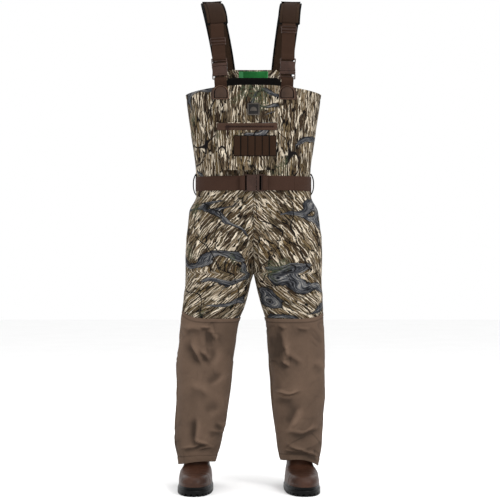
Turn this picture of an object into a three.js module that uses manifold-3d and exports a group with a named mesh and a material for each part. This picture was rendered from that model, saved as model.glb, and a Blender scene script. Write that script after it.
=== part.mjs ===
// Chest waders: a bib and trousers of camouflage cloth with heavy shin overlays, rubber boots,
// a webbing belt and padded shoulder straps with side-release buckles.
// Millimetres, +Z up, the front faces -Y and the wearer's left is +X. The origin is the point
// midway between the undersides of the two shoulder pads, where the waders hang.
// Heights below are counted up from the soles; the last lines move the model to its origin.
import * as THREE from "three";
import { mergeVertices } from "three/addons/utils/BufferGeometryUtils.js";
import Module from "manifold-3d";

const wasm = await Module();
wasm.setup();

// ---- Driving dimensions ----
const HEM_HEIGHT = 95; // soles to the trouser hem
const SOLE_TO_KNEE = 500; // knee axis above the soles
const KNEE_TO_CROTCH = 248;
const CROTCH_TO_WAIST = 309;
const WAIST_TO_BIB_TOP = 335;
const BIB_TOP_TO_SHOULDER = 300;
const BACK_RISE = 81; // how much higher the back panel stands than the front
const WAIST_HALF_WIDTH = 199;
const CHEST_HALF_WIDTH = 236;
const HIP_HALF_WIDTH = 237;
const HEM_HALF_WIDTH = 63.5;
const WAIST_HALF_DEPTH = 118;
const SHELL = 3; // thickness of the laminated shell cloth
const LINING = 2;
const BELT_WIDTH = 50;
const STRAP_WIDTH = 45;
const WEBBING = 2.2; // webbing thickness
const PAD_WIDTH = 76;
const PAD_THICKNESS = 8;
const PAD_GAP = 1.2; // between a pad and the webbing on it
const BOOT_LENGTH = 310;
const BOOT_HALF_WIDTH = 61;
const TOE_OUT = { left: 3.5, right: 1 }; // degrees that each boot turns outwards
const SOLE_THICKNESS = 20;
const RUBBER = 4; // wall of the boot upper
const POUCH_DEPTH = 15; // clear depth of the hand-warmer pocket at its middle
const GAP = 0.4; // clearance between touching pieces

// ---- Heights and joint axes worked out from them ----
const KNEE = SOLE_TO_KNEE;
const CROTCH = KNEE + KNEE_TO_CROTCH;
const WAIST = CROTCH + CROTCH_TO_WAIST;
const BIB_TOP = WAIST + WAIST_TO_BIB_TOP;
const SHOULDER = BIB_TOP + BIB_TOP_TO_SHOULDER;
const HIP_AXIS = CROTCH + 102;
const HIP_RADIUS = 170; // the hip panel ends on this cylinder about the hip axis
const KNEE_RADIUS = 120; // the thigh panel ends on this cylinder about the knee axis
const SWING_GAP = 4; // clearance between panels that turn past each other
const FACET_ROOM = 1.2; // extra clearance between nested curved sheets of different facets
const STANCE = 18; // sideways lean of each leg at the ankle
const ORIGIN_HEIGHT = SHOULDER - WEBBING / 2 - PAD_GAP - PAD_THICKNESS;
const SIDES = [
  { name: "left", sign: 1 },
  { name: "right", sign: -1 },
];

// ---- Materials ----
const paint = (color, roughness) =>
  new THREE.MeshStandardMaterial({ color, roughness, metalness: 0 });
const camo = paint(0x77705e, 0.9);
const overlay = paint(0x69564a, 0.85);
const webbing = paint(0x422c23, 0.8);
const buckle = paint(0x3a261d, 0.5);
const padding = paint(0x32241c, 0.85);
const lining = paint(0x1b1b1c, 0.9);
const rubber = paint(0x4b3226, 0.55);
const treadRubber = paint(0x1f1b19, 0.8);
const elastic = paint(0x33221a, 0.85);
const badgeRubber = paint(0x2b2622, 0.5);
const labelCloth = paint(0x3c9650, 0.8);
const zipNylon = paint(0x241a15, 0.6);

const waders = new THREE.Group();
waders.name = "chest_waders";
const body = new THREE.Group();
waders.add(body);

function add(name, geometry, material, parent = body) {
  const mesh = new THREE.Mesh(geometry, material);
  mesh.name = name;
  parent.add(mesh);
  return mesh;
}

// ---- Solids ----
function boxAt(width, depth, height, x, y, z) {
  return new THREE.BoxGeometry(width, depth, height).translate(x, y, z);
}

function toSolid(geometry) {
  const bare = geometry.clone();
  bare.deleteAttribute("normal");
  bare.deleteAttribute("uv");
  const merged = mergeVertices(bare, 1e-3);
  return new wasm.Manifold(
    new wasm.Mesh({
      numProp: 3,
      vertProperties: merged.attributes.position.array,
      triVerts: new Uint32Array(merged.index.array),
    }),
  );
}

function toGeometry(solid) {
  const mesh = solid.getMesh();
  const geometry = new THREE.BufferGeometry();
  geometry.setAttribute("position", new THREE.BufferAttribute(mesh.vertProperties, 3));
  geometry.setIndex(new THREE.BufferAttribute(mesh.triVerts, 1));
  return geometry;
}

function combine(joined, removed) {
  const whole = joined.map(toSolid).reduce((a, b) => a.add(b));
  return toGeometry(removed.map(toSolid).reduce((a, b) => a.subtract(b), whole));
}

// A sheet of even thickness under the surface point(u, v). Seen from outside, u runs to the
// right and v upwards. With wrap, u = 1 meets u = 0 and the sheet is a tube.
function thickSheet(point, columns, rows, thickness, wrap = false) {
  const across = wrap ? columns : columns + 1;
  const at = (i, j) => (wrap ? (i + columns) % columns : i) + across * j;
  const outer = [];
  for (let j = 0; j <= rows; j++) {
    for (let i = 0; i < across; i++) outer.push(point(i / columns, j / rows));
  }
  const inner = outer.map((p, k) => {
    const i = k % across;
    const j = Math.floor(k / across);
    const right = outer[at(wrap ? i + 1 : Math.min(i + 1, columns), j)];
    const left = outer[at(wrap ? i - 1 : Math.max(i - 1, 0), j)];
    const above = outer[at(i, Math.min(j + 1, rows))];
    const below = outer[at(i, Math.max(j - 1, 0))];
    const along = new THREE.Vector3().subVectors(right, left);
    const up = new THREE.Vector3().subVectors(above, below);
    const normal = along.cross(up).normalize();
    return p.clone().addScaledVector(normal, -thickness);
  });
  const faces = [];
  const quad = (a, b, c, d) => faces.push(a, b, c, a, c, d);
  const back = outer.length;
  for (let i = 0; i < columns; i++) {
    for (let j = 0; j < rows; j++) {
      const [a, b, c, d] = [at(i, j), at(i + 1, j), at(i + 1, j + 1), at(i, j + 1)];
      quad(a, b, c, d);
      quad(back + b, back + a, back + d, back + c);
    }
    quad(at(i + 1, 0), at(i, 0), back + at(i, 0), back + at(i + 1, 0));
    quad(at(i, rows), at(i + 1, rows), back + at(i + 1, rows), back + at(i, rows));
  }
  for (let j = 0; j < rows && !wrap; j++) {
    quad(at(0, j), at(0, j + 1), back + at(0, j + 1), back + at(0, j));
    quad(at(columns, j + 1), at(columns, j), back + at(columns, j), back + at(columns, j + 1));
  }
  return fromFaces([...outer, ...inner], faces);
}

function fromFaces(points, faces) {
  const geometry = new THREE.BufferGeometry().setFromPoints(points);
  geometry.setIndex(faces);
  geometry.computeVertexNormals();
  return geometry;
}

// A flat strip of webbing that follows points, lying across the given direction.
function ribbon(points, across, width, thickness) {
  const corners = [];
  points.forEach((p, k) => {
    const before = points[Math.max(k - 1, 0)];
    const after = points[Math.min(k + 1, points.length - 1)];
    const along = new THREE.Vector3().subVectors(after, before).normalize();
    const side = across.clone().addScaledVector(along, -across.dot(along)).normalize();
    const out = new THREE.Vector3().crossVectors(side, along);
    for (const [s, t] of [[1, 1], [-1, 1], [-1, -1], [1, -1]]) {
      const corner = p.clone().addScaledVector(side, (s * width) / 2);
      corners.push(corner.addScaledVector(out, (t * thickness) / 2));
    }
  });
  const faces = [];
  const quad = (a, b, c, d) => faces.push(a, b, c, a, c, d);
  const last = 4 * (points.length - 1);
  for (let k = 0; k < last; k += 4) {
    for (let e = 0; e < 4; e++) {
      const f = (e + 1) % 4;
      quad(k + f, k + e, k + 4 + e, k + 4 + f);
    }
  }
  quad(0, 1, 2, 3);
  quad(last + 3, last + 2, last + 1, last);
  return fromFaces(corners, faces);
}

// ---- The body curve that every garment panel follows ----
// A smooth curve through [height, value] points, with no overshoot and level beyond the ends.
function smoothCurve(levels) {
  return (z) => {
    if (z <= levels[0][0]) return levels[0][1];
    const top = levels.length - 1;
    if (z >= levels[top][0]) return levels[top][1];
    const k = levels.findIndex(([height]) => height > z) - 1;
    const secant = (i) => (levels[i + 1][1] - levels[i][1]) / (levels[i + 1][0] - levels[i][0]);
    const slope = (i) => {
      if (i === 0 || i === top) return secant(Math.min(i, top - 1));
      const [a, b] = [secant(i - 1), secant(i)];
      return a * b <= 0 ? 0 : (2 * a * b) / (a + b);
    };
    const [z0, v0] = levels[k];
    const [z1, v1] = levels[k + 1];
    const h = z1 - z0;
    const t = (z - z0) / h;
    const rise = (3 - 2 * t) * t * t;
    return v0 + (v1 - v0) * rise + h * t * (1 - t) * ((1 - t) * slope(k) - t * slope(k + 1));
  };
}

const HEM_OUTER = HIP_HALF_WIDTH + 7;
const CINCH = BELT_WIDTH / 2 + 14; // the belt holds the waist level this far above and below
const outerX = smoothCurve([
  [HEM_HEIGHT, HEM_OUTER],
  [HEM_HEIGHT + 68, HEM_OUTER + 11],
  [KNEE - 57, HEM_OUTER + 12],
  [KNEE + 69, HIP_HALF_WIDTH + 10],
  [CROTCH, HIP_HALF_WIDTH],
  [CROTCH + 70, HIP_HALF_WIDTH - 1],
  [WAIST - 96, (WAIST_HALF_WIDTH + HIP_HALF_WIDTH) / 2 + 6],
  [WAIST - CINCH, WAIST_HALF_WIDTH],
  [WAIST + CINCH, WAIST_HALF_WIDTH],
  [WAIST + 115, WAIST_HALF_WIDTH + 9],
  [BIB_TOP - 23, CHEST_HALF_WIDTH],
]);
// Inner edge of each leg: the inseam below the crotch. Above it the value is negative, and
// the two half sections meet on the centre seam.
const innerX = smoothCurve([
  [HEM_HEIGHT, HEM_OUTER - 2 * HEM_HALF_WIDTH],
  [HEM_HEIGHT + 68, HEM_OUTER - 2 * HEM_HALF_WIDTH - 20],
  [KNEE - 57, HEM_OUTER - 2 * HEM_HALF_WIDTH - 52.5],
  [KNEE + 69, 49],
  [CROTCH - 101, 25.5],
  [CROTCH, 0],
  [CROTCH + 70, -30],
  [CROTCH + 132, -75],
  [WAIST - 96, -150],
  [WAIST - CINCH, -WAIST_HALF_WIDTH],
]);
const frontY = smoothCurve([
  [HEM_HEIGHT, 86],
  [KNEE - 57, 90],
  [KNEE, 95],
  [KNEE + 69, 103],
  [CROTCH + 70, WAIST_HALF_DEPTH + 2],
  [WAIST - CINCH, WAIST_HALF_DEPTH],
  [WAIST + CINCH, WAIST_HALF_DEPTH],
  [BIB_TOP, WAIST_HALF_DEPTH + 4],
]);
const backY = smoothCurve([
  [HEM_HEIGHT, 86],
  [KNEE - 57, 90],
  [KNEE, 95],
  [KNEE + 69, 105],
  [CROTCH + 40, WAIST_HALF_DEPTH + 9],
  [CROTCH + 132, WAIST_HALF_DEPTH + 12],
  [WAIST - CINCH, WAIST_HALF_DEPTH],
  [WAIST + CINCH, WAIST_HALF_DEPTH],
  [BIB_TOP, WAIST_HALF_DEPTH + 4],
]);
const ANKLE_SETBACK = 18; // the hems sit this far behind the knees
const centreY = smoothCurve([
  [HEM_HEIGHT, ANKLE_SETBACK],
  [KNEE - 57, 0],
]);
const ROUNDNESS = 2.3; // exponent of the superellipse section
const CENTRE_SEAM = 1.1; // each hip panel stops this far from the centre plane
const INSEAM_SLIT = 0.004; // radians left open along the inseam of a hip panel
const power = (value) => Math.sign(value) * Math.abs(value) ** (2 / ROUNDNESS);

// Sideways lean of a leg, which starts at the crotch's height and is in full at the ankle.
function lean(z) {
  return STANCE * THREE.MathUtils.clamp((CROTCH - 48 - z) / (CROTCH - 148), 0, 1);
}

// A point on the left half's section at a height. Angle 0 is the outer side, -PI the front
// centre and PI the back centre; inset moves the point inwards.
function onBody(z, angle, inset = 0) {
  const outer = outerX(z);
  const inner = z >= WAIST - CINCH ? -outer : innerX(z);
  const centre = (outer + inner) / 2;
  const half = (outer - inner) / 2 - inset;
  const depth = (angle < 0 ? frontY(z) : backY(z)) - inset;
  return new THREE.Vector3(
    centre + half * power(Math.cos(angle)),
    centreY(z) + depth * power(Math.sin(angle)),
    z,
  );
}

// The angle at which a half section reaches the centre seam.
function seamAngle(z, inset = 0) {
  const outer = outerX(z);
  const inner = innerX(z);
  const reach = (CENTRE_SEAM - (outer + inner) / 2) / ((outer - inner) / 2 - inset);
  if (reach <= -1) return Math.PI - INSEAM_SLIT;
  const cosine = Math.sign(reach) * Math.abs(reach) ** (ROUNDNESS / 2);
  return Math.min(Math.PI - INSEAM_SLIT, Math.acos(cosine));
}

// A panel on one leg or hip. The edges are heights as functions of the angle.
function legPanel(side, columns, rows, thickness, inset, edges, angles) {
  const closed = !angles;
  const point = (u, v) => {
    const share = side.sign > 0 ? u : 1 - u;
    const place = (z) => {
      const [from, to] = closed ? [-Math.PI, Math.PI] : angles(z);
      const p = onBody(z, from + (to - from) * share, inset);
      const sideways = side.sign * p.x - lean(z);
      return new THREE.Vector3(sideways, p.y, z);
    };
    let [low, high] = edges(0);
    for (let pass = 0; pass < 5; pass++) {
      low = edges(place(low).y)[0];
      high = edges(place(high).y)[1];
    }
    return place(low + (high - low) * v);
  };
  return thickSheet(point, columns, rows, thickness, closed);
}

const arcDrop = (radius, y) => Math.sqrt(Math.max(radius ** 2 - y ** 2, 0));
const hipEdge = (radius) => (y) => HIP_AXIS - arcDrop(radius, y);
const kneeEdge = (radius) => (y) => KNEE + arcDrop(radius, y);

for (const side of SIDES) {
  const seam = (z) => [-seamAngle(z), seamAngle(z)];
  add(
    "hip_panel_" + side.name,
    legPanel(side, 26, 9, SHELL, 0, (y) => [hipEdge(HIP_RADIUS)(y), WAIST - GAP], seam),
    camo,
  );
  add(
    "thigh_panel_" + side.name,
    legPanel(side, 26, 3, SHELL, 0, (y) => [
      kneeEdge(KNEE_RADIUS)(y),
      hipEdge(HIP_RADIUS + SWING_GAP)(y),
    ]),
    camo,
  );
  add(
    "shin_overlay_" + side.name,
    legPanel(side, 26, 9, SHELL, 0, (y) => [HEM_HEIGHT, kneeEdge(KNEE_RADIUS - SWING_GAP)(y)]),
    overlay,
  );
  add(
    "knee_pad_" + side.name,
    legPanel(
      side,
      6,
      5,
      6,
      SHELL + GAP + FACET_ROOM,
      () => [KNEE - 80, KNEE + 50],
      () => [-Math.PI * 0.68, -Math.PI * 0.32],
    ),
    padding,
  );
}

// ---- Bib ----
const CORNER_DROP = 24; // the front edge falls this much from the middle to the side seams
const SIDE_SEAM = 0.003; // radians between a side seam and each panel's edge

function frontEdge(x) {
  return BIB_TOP - CORNER_DROP * Math.abs(x / CHEST_HALF_WIDTH) ** 2.2;
}

function backEdge(x) {
  const fall = THREE.MathUtils.smoothstep(Math.abs(x), 80, 150);
  return THREE.MathUtils.lerp(BIB_TOP + BACK_RISE, frontEdge(x), fall);
}

// A bib panel between two angles, from a height up to an edge given over x.
function bibPanel(from, to, low, edge, columns, rows, thickness, inset) {
  const point = (u, v) => {
    const angle = from + (to - from) * u;
    let high = BIB_TOP;
    for (let pass = 0; pass < 5; pass++) high = edge(onBody(high, angle, inset).x);
    return onBody(low + (high - low) * v, angle, inset);
  };
  return thickSheet(point, columns, rows, thickness, to - from > 6.2);
}

const BIB_LOW = WAIST + GAP;
add(
  "bib_front_panel",
  bibPanel(-Math.PI + SIDE_SEAM, -SIDE_SEAM, BIB_LOW, frontEdge, 26, 7, SHELL, 0),
  camo,
);
add(
  "bib_back_panel",
  bibPanel(SIDE_SEAM, Math.PI - SIDE_SEAM, BIB_LOW, backEdge, 26, 7, SHELL, 0),
  camo,
);
const FACING = 30; // depth of the cloth facing above the lining
const liningEdge = (x) => frontEdge(x) - FACING;
add(
  "bib_lining",
  bibPanel(-Math.PI, Math.PI, BIB_LOW, liningEdge, 36, 5, LINING, SHELL + FACET_ROOM),
  lining,
);

// The height of the garment's front surface over x, as a distance in front of the middle plane.
function frontSurface(z, x, inset = 0) {
  const half = outerX(Math.max(z, WAIST)) - inset;
  const depth = frontY(z) - inset;
  return -depth * (1 - Math.abs(x / half) ** ROUNDNESS) ** (1 / ROUNDNESS);
}

// Size label inside the back panel, above the lining's height.
const LABEL = { width: 105, height: 30, below: 6, thickness: 1 };
const labelY = WAIST_HALF_DEPTH + 4 - SHELL - GAP - LABEL.thickness / 2 - 1.6;
add(
  "size_label",
  boxAt(
    LABEL.width,
    LABEL.thickness,
    LABEL.height,
    0,
    labelY,
    BIB_TOP + BACK_RISE - LABEL.below - LABEL.height / 2,
  ),
  labelCloth,
);

// ---- Hand-warmer pocket: a flat pouch open at both sides, closed above and below ----
const POUCH_HEIGHT = 162;
const POUCH_LIFT = 18; // from the belt's upper edge to the pouch
const pouchBottom = WAIST + BELT_WIDTH / 2 + POUCH_LIFT;
const POUCH = {
  left: -126,
  right: 82,
  bottom: pouchBottom,
  top: pouchBottom + POUCH_HEIGHT,
  corner: 40,
};
const POUCH_WALL = 3;
const pouchBack = -(WAIST_HALF_DEPTH + 3) - POUCH_DEPTH;
const pouchFront = pouchBack - POUCH_WALL;

function pouchOutline() {
  const shape = new THREE.Shape();
  shape.moveTo(POUCH.left + 22, POUCH.bottom);
  shape.lineTo(POUCH.right - 22, POUCH.bottom);
  shape.quadraticCurveTo(POUCH.right - 2, POUCH.bottom + POUCH.corner, POUCH.right, POUCH.top - 60);
  shape.lineTo(POUCH.right, POUCH.top);
  shape.lineTo(POUCH.left, POUCH.top);
  shape.lineTo(POUCH.left, POUCH.top - 60);
  shape.quadraticCurveTo(POUCH.left + 2, POUCH.bottom + POUCH.corner, POUCH.left + 22, POUCH.bottom);
  return shape;
}

// Extrudes an outline drawn in x and z so that it runs from y = front to y = back.
function standingPlate(shape, front, back, segments = 6) {
  const geometry = new THREE.ExtrudeGeometry(shape, {
    depth: back - front,
    bevelEnabled: false,
    curveSegments: segments,
  });
  return geometry.rotateX(Math.PI / 2).translate(0, back, 0);
}

// A flange that joins the pouch's face to the chest: it reaches back to just off the panel.
function pouchFlange(z, from, to) {
  const shape = new THREE.Shape();
  shape.moveTo(from, pouchBack - 1);
  shape.lineTo(to, pouchBack - 1);
  const steps = 12;
  for (let k = 0; k <= steps; k++) {
    const x = to + ((from - to) * k) / steps;
    const surface = Math.min(frontSurface(z, x), frontSurface(z + POUCH_WALL, x));
    shape.lineTo(x, surface - 2 * GAP);
  }
  const geometry = new THREE.ExtrudeGeometry(shape, { depth: POUCH_WALL, bevelEnabled: false });
  return geometry.translate(0, 0, z);
}

add(
  "handwarmer_pocket",
  combine(
    [
      standingPlate(pouchOutline(), pouchFront, pouchBack),
      pouchFlange(POUCH.bottom, POUCH.left + 22, POUCH.right - 22),
      pouchFlange(POUCH.top - POUCH_WALL, POUCH.left, POUCH.right),
    ],
    [],
  ),
  camo,
);

// Zip across the top of the pouch, with its coil, slider and pull tab, and the flap and the
// elastic shell holder below it. Each lies on the one behind it.
const ZIP = { z: POUCH.top - 14, tapeHeight: 24, tape: 1.6, coilHeight: 5, coil: 2, from: -96, to: 70 };
const tapeFront = pouchFront - GAP - ZIP.tape;
const middleX = (POUCH.left + POUCH.right) / 2;
add(
  "pocket_zip_tape",
  boxAt(
    POUCH.right - POUCH.left - 2,
    ZIP.tape,
    ZIP.tapeHeight,
    middleX,
    tapeFront + ZIP.tape / 2,
    ZIP.z,
  ),
  webbing,
);
const coilFront = tapeFront - GAP - ZIP.coil;
const coilX = (ZIP.from + ZIP.to) / 2;
add(
  "pocket_zip_coil",
  boxAt(ZIP.to - ZIP.from, ZIP.coil, ZIP.coilHeight, coilX, coilFront + ZIP.coil / 2, ZIP.z),
  zipNylon,
);
const SLIDER = { length: 11, height: 9, roof: 1.6 };
const sliderX = ZIP.from + SLIDER.length / 2 + 2;
const roofFront = coilFront - GAP - SLIDER.roof;
const rail = (SLIDER.height - ZIP.coilHeight) / 2 - GAP;
const railDepth = SLIDER.roof + ZIP.coil;
const railY = roofFront + railDepth / 2;
const railMiddle = (SLIDER.height - rail) / 2;
add(
  "zip_slider",
  combine(
    [
      boxAt(SLIDER.length, SLIDER.roof, SLIDER.height, sliderX, roofFront + SLIDER.roof / 2, ZIP.z),
      ...[-1, 1].map((end) =>
        boxAt(SLIDER.length, railDepth, rail, sliderX, railY, ZIP.z + end * railMiddle),
      ),
    ],
    [],
  ),
  zipNylon,
);
const PULL = { width: 6, length: 34, thickness: 1.8 };
const pullY = roofFront - GAP - PULL.thickness / 2;
add(
  "zip_pull",
  boxAt(PULL.width, PULL.thickness, PULL.length, sliderX, pullY, ZIP.z - PULL.length / 2 + 3),
  webbing,
);
const FLAP = { left: -70, right: 80, top: ZIP.z - ZIP.tapeHeight / 2 - GAP, height: 18, thickness: 3 };
const HOLDER = { left: -68, right: 78, height: 70, thickness: 6 };
const holderTop = FLAP.top - FLAP.height - GAP;
add(
  "pocket_flap",
  boxAt(
    FLAP.right - FLAP.left,
    FLAP.thickness,
    FLAP.height,
    (FLAP.left + FLAP.right) / 2,
    pouchFront - GAP - FLAP.thickness / 2,
    FLAP.top - FLAP.height / 2,
  ),
  camo,
);
add(
  "shell_holder",
  boxAt(
    HOLDER.right - HOLDER.left,
    HOLDER.thickness,
    HOLDER.height,
    (HOLDER.left + HOLDER.right) / 2,
    pouchFront - GAP - HOLDER.thickness / 2,
    holderTop - HOLDER.height / 2,
  ),
  elastic,
);
const BADGE = { size: 42, thickness: 3, above: 26 }; // above the pouch
add(
  "chest_badge",
  boxAt(
    BADGE.size,
    BADGE.thickness,
    BADGE.size,
    0,
    -frontY(BIB_TOP) - GAP - BADGE.thickness / 2,
    POUCH.top + BADGE.above + BADGE.size / 2,
  ),
  badgeRubber,
);

// ---- Side-release buckle ----
// Its own frame: x across the webbing, -y the outer face, z from the socket's end bar (0) to
// the plug's end bar (BUCKLE_LENGTH).
const BUCKLE_LENGTH = 72;
const BUCKLE_DEPTH = 12;
const LADDER_DEPTH = 5;
const BAR = 2.6;
const BUCKLE_RAIL = 4.5; // beside the webbing
const MOUTH = 44; // where the socket ends and the plug's shoulder begins
const CAVITY_HALF_DEPTH = 3.6;
const ARM = { tip: 20, width: 7, depth: 5.2, pivot: MOUTH + 0.6, length: 24 };

function socketGeometry(width) {
  const shell = width + 2 * BUCKLE_RAIL;
  const cavity = width + 4;
  const slot = [width + 1.2, 40, 6.4];
  return combine(
    [
      boxAt(shell, LADDER_DEPTH, 14, 0, 0, 7),
      boxAt(shell, BUCKLE_DEPTH, MOUTH - 11, 0, 0, (MOUTH + 11) / 2),
    ],
    [
      boxAt(slot[0], slot[1], slot[2], 0, 0, BAR + slot[2] / 2),
      boxAt(cavity, 2 * CAVITY_HALF_DEPTH, MOUTH, 0, 0, MOUTH / 2 + 14),
      boxAt(shell + 10, 5.6, 17, 0, 0, 27),
    ],
  );
}

function plugGeometry(width) {
  const shell = width + 2 * BUCKLE_RAIL;
  const shoulder = 10;
  const slot = [width + 1.2, 40, 4.4];
  const start = MOUTH + 1;
  return combine(
    [
      boxAt(shell, BUCKLE_DEPTH, shoulder, 0, 0, start + shoulder / 2),
      boxAt(shell, LADDER_DEPTH, BUCKLE_LENGTH - start - 2, 0, 0, (BUCKLE_LENGTH + start + 2) / 2),
      boxAt(width * 0.3, LADDER_DEPTH, 24, 0, 0, start - 10),
    ],
    [
      boxAt(slot[0], slot[1], slot[2], 0, 0, BUCKLE_LENGTH - BAR - slot[2] / 2),
      boxAt(slot[0], slot[1], slot[2], 0, 0, BUCKLE_LENGTH - 2 * BAR - 1.5 * slot[2]),
    ],
  );
}

// One spring arm of the plug, on the +x side of the buckle for hand = 1.
function armGeometry(width, hand) {
  const outside = width / 2 + 1.4;
  const shape = new THREE.Shape();
  shape.moveTo(outside - ARM.width, MOUTH);
  shape.lineTo(outside - ARM.width + 2, ARM.tip + 8);
  shape.quadraticCurveTo(outside - 4, ARM.tip, outside - 1, ARM.tip);
  shape.quadraticCurveTo(outside, ARM.tip, outside, ARM.tip + 3);
  shape.lineTo(outside, MOUTH - 12);
  shape.quadraticCurveTo(outside - 2, MOUTH - 6, outside - 1, MOUTH);
  const plate = standingPlate(shape, -ARM.depth / 2, ARM.depth / 2, 4);
  return hand > 0 ? plate : plate.rotateY(Math.PI);
}

// Tri-glide: a frame around the strap with two slots in its face.
const GLIDE = { length: 24, depth: 6.4, channel: 3.2 };
function glideGeometry(width) {
  const slot = 6;
  return combine(
    [boxAt(width + 8, GLIDE.depth, GLIDE.length, 0, 0, 0)],
    [
      boxAt(width + 1.2, GLIDE.channel, GLIDE.length + 2, 0, 0, 0),
      ...[-1, 1].map((end) => boxAt(width + 1.2, GLIDE.depth, slot, 0, -GLIDE.depth / 2, end * 5.6)),
    ],
  );
}

const LOOP_RADIUS = 4; // of webbing folded round a buckle's end bar

// Points of a fold round a bar that lies at z = bar. The strip comes off the front at z = to,
// turns round the bar, and its tail ends behind it. The way is 1 for a strip that leaves
// upwards and -1 for one that leaves downwards.
function foldPoints(bar, to, way, tail, settle) {
  const points = [];
  points.push([0, to]);
  points.push([settle, bar + way * 30]);
  points.push([-LOOP_RADIUS, bar + way * 10]);
  for (let k = 0; k <= 6; k++) {
    const turn = (Math.PI * k) / 6;
    points.push([-LOOP_RADIUS * Math.cos(turn), bar - way * LOOP_RADIUS * Math.sin(turn)]);
  }
  points.push([LOOP_RADIUS, bar + way * tail]);
  return points.map(([y, z]) => new THREE.Vector3(0, y, z));
}

// ---- Belt ----
const beltOut = GAP * 3 + WEBBING / 2; // middle of the webbing, off the garment
const BELT_BUCKLE_X = -35;
const beltPlane = -(WAIST_HALF_DEPTH + 1 + BUCKLE_DEPTH / 2);
const beltHalf = BELT_WIDTH / 2;

function beltPoint(angle) {
  return onBody(WAIST, angle, -beltOut);
}

// Angles on the full waist section run from the front middle round the left side to the back.
function angleAtX(x) {
  const half = outerX(WAIST) + beltOut;
  return -Math.acos(Math.sign(x) * Math.abs(x / half) ** (ROUNDNESS / 2));
}

const UP = new THREE.Vector3(0, 0, 1);
const beltStart = BELT_BUCKLE_X + BAR / 2;
const beltEnd = BELT_BUCKLE_X + BUCKLE_LENGTH - BAR / 2;
const RUN_END_X = 140; // the free run of belt by the plug ends at this x

// The fold of belt webbing round an end bar, lying in the buckle's plane.
function beltFold(barX, way) {
  const points = [];
  for (let k = 0; k <= 6; k++) {
    const turn = (Math.PI * k) / 6;
    const x = barX - way * LOOP_RADIUS * Math.sin(turn);
    points.push(new THREE.Vector3(x, beltPlane + LOOP_RADIUS * Math.cos(turn), WAIST));
  }
  points.unshift(new THREE.Vector3(barX + way * 12, beltPlane + LOOP_RADIUS, WAIST));
  points.push(new THREE.Vector3(barX + way * 14, beltPlane - LOOP_RADIUS, WAIST));
  return points.reverse();
}

function beltRun(from, to, steps) {
  const points = [];
  for (let k = 0; k <= steps; k++) points.push(beltPoint(from + ((to - from) * k) / steps));
  return points;
}

const runStart = angleAtX(beltEnd + 34);
const runEnd = angleAtX(RUN_END_X);
const socketSide = angleAtX(beltStart - 34);

// The belt leaves the fold's rear ply and joins the waist line.
add(
  "belt_free_run",
  ribbon([...beltFold(beltEnd, 1), ...beltRun(runStart, runEnd, 6)], UP, BELT_WIDTH, WEBBING),
  webbing,
);
const longWay = beltRun(socketSide, runEnd - 2 * Math.PI + 0.006, 44);
add(
  "belt_webbing",
  ribbon([...beltFold(beltStart, -1), ...longWay], UP, BELT_WIDTH, WEBBING),
  webbing,
);
const beltBuckle = new THREE.Group();
beltBuckle.position.set(BELT_BUCKLE_X, beltPlane, WAIST);
beltBuckle.rotation.y = Math.PI / 2;
body.add(beltBuckle);
add("belt_socket", socketGeometry(BELT_WIDTH), buckle, beltBuckle);
add("belt_plug", plugGeometry(BELT_WIDTH), buckle, beltBuckle);
add("belt_plug_arm_lower", armGeometry(BELT_WIDTH, 1), buckle, beltBuckle);
const upperArm = armGeometry(BELT_WIDTH, 1).scale(-1, 1, 1);
add("belt_plug_arm_upper", turnedInsideOut(upperArm), buckle, beltBuckle);

// Faces of a mirrored geometry, turned round so that they point outwards again.
function turnedInsideOut(geometry) {
  const flat = geometry.index ? geometry.toNonIndexed() : geometry;
  const position = flat.attributes.position.array;
  for (let k = 0; k < position.length; k += 9) {
    for (let c = 0; c < 3; c++) {
      const kept = position[k + 3 + c];
      position[k + 3 + c] = position[k + 6 + c];
      position[k + 6 + c] = kept;
    }
  }
  return flat;
}

// Belt loops: webbing arches over the belt at the two sides and the middle of the back.
function beltLoop(angle, width) {
  const outward = beltPoint(angle).setZ(0).normalize();
  const across = new THREE.Vector3(-outward.y, outward.x, 0);
  const reach = beltPoint(angle).setZ(0).length();
  const profile = [
    [-beltOut + 2 * GAP + WEBBING / 2, -beltHalf - 12],
    [-beltOut + 2 * GAP + WEBBING / 2, -beltHalf - 7],
    [5, -beltHalf + 2],
    [8, 0],
    [5, beltHalf - 2],
    [-beltOut + 2 * GAP + WEBBING / 2, beltHalf + 7],
    [-beltOut + 2 * GAP + WEBBING / 2, beltHalf + 12],
  ];
  const points = profile.map(([out, z]) =>
    outward.clone().multiplyScalar(reach + out).setZ(WAIST + z),
  );
  return ribbon(points, across, width, WEBBING * 0.7);
}
add("belt_loop_left", beltLoop(0, 20), lining);
add("belt_loop_right", beltLoop(-Math.PI, 20), lining);
add("belt_loop_back", beltLoop(Math.PI / 2, 30), lining);

// ---- Shoulder straps ----
const STRAP_TILT = THREE.MathUtils.degToRad(6); // the straps lean back from the bib
const PATCH = { height: 48, thickness: 4, stand: 2.4 };
const STRAP_LAYOUT = {
  left: { foot: 115, top: 131, plugAbove: false, glide: 193, glideLow: -0.04 },
  right: { foot: -112, top: -146, plugAbove: true, glide: 152, glideLow: -0.01 },
};
const BUCKLE_FOOT = 20; // strap distance from the patch to the buckle's lower bar
const PAD_START = 215; // strap distance from the patch to the pad's front end
const BACK_ANCHOR_X = 98;
const PAD_STAND = 4.5; // from the back panel to the pad sewn on it
const footY = -(WAIST_HALF_DEPTH + 4) - PATCH.stand - 6;

// D-shaped patch: round at the top, straight below.
function patchShape(width) {
  const half = width / 2;
  const shape = new THREE.Shape();
  shape.moveTo(-half, -PATCH.height);
  shape.lineTo(half, -PATCH.height);
  shape.lineTo(half, -half * 0.7);
  shape.quadraticCurveTo(half, 0, half * 0.3, 0);
  shape.lineTo(-half * 0.3, 0);
  shape.quadraticCurveTo(-half, 0, -half, -half * 0.7);
  return shape;
}

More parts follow.
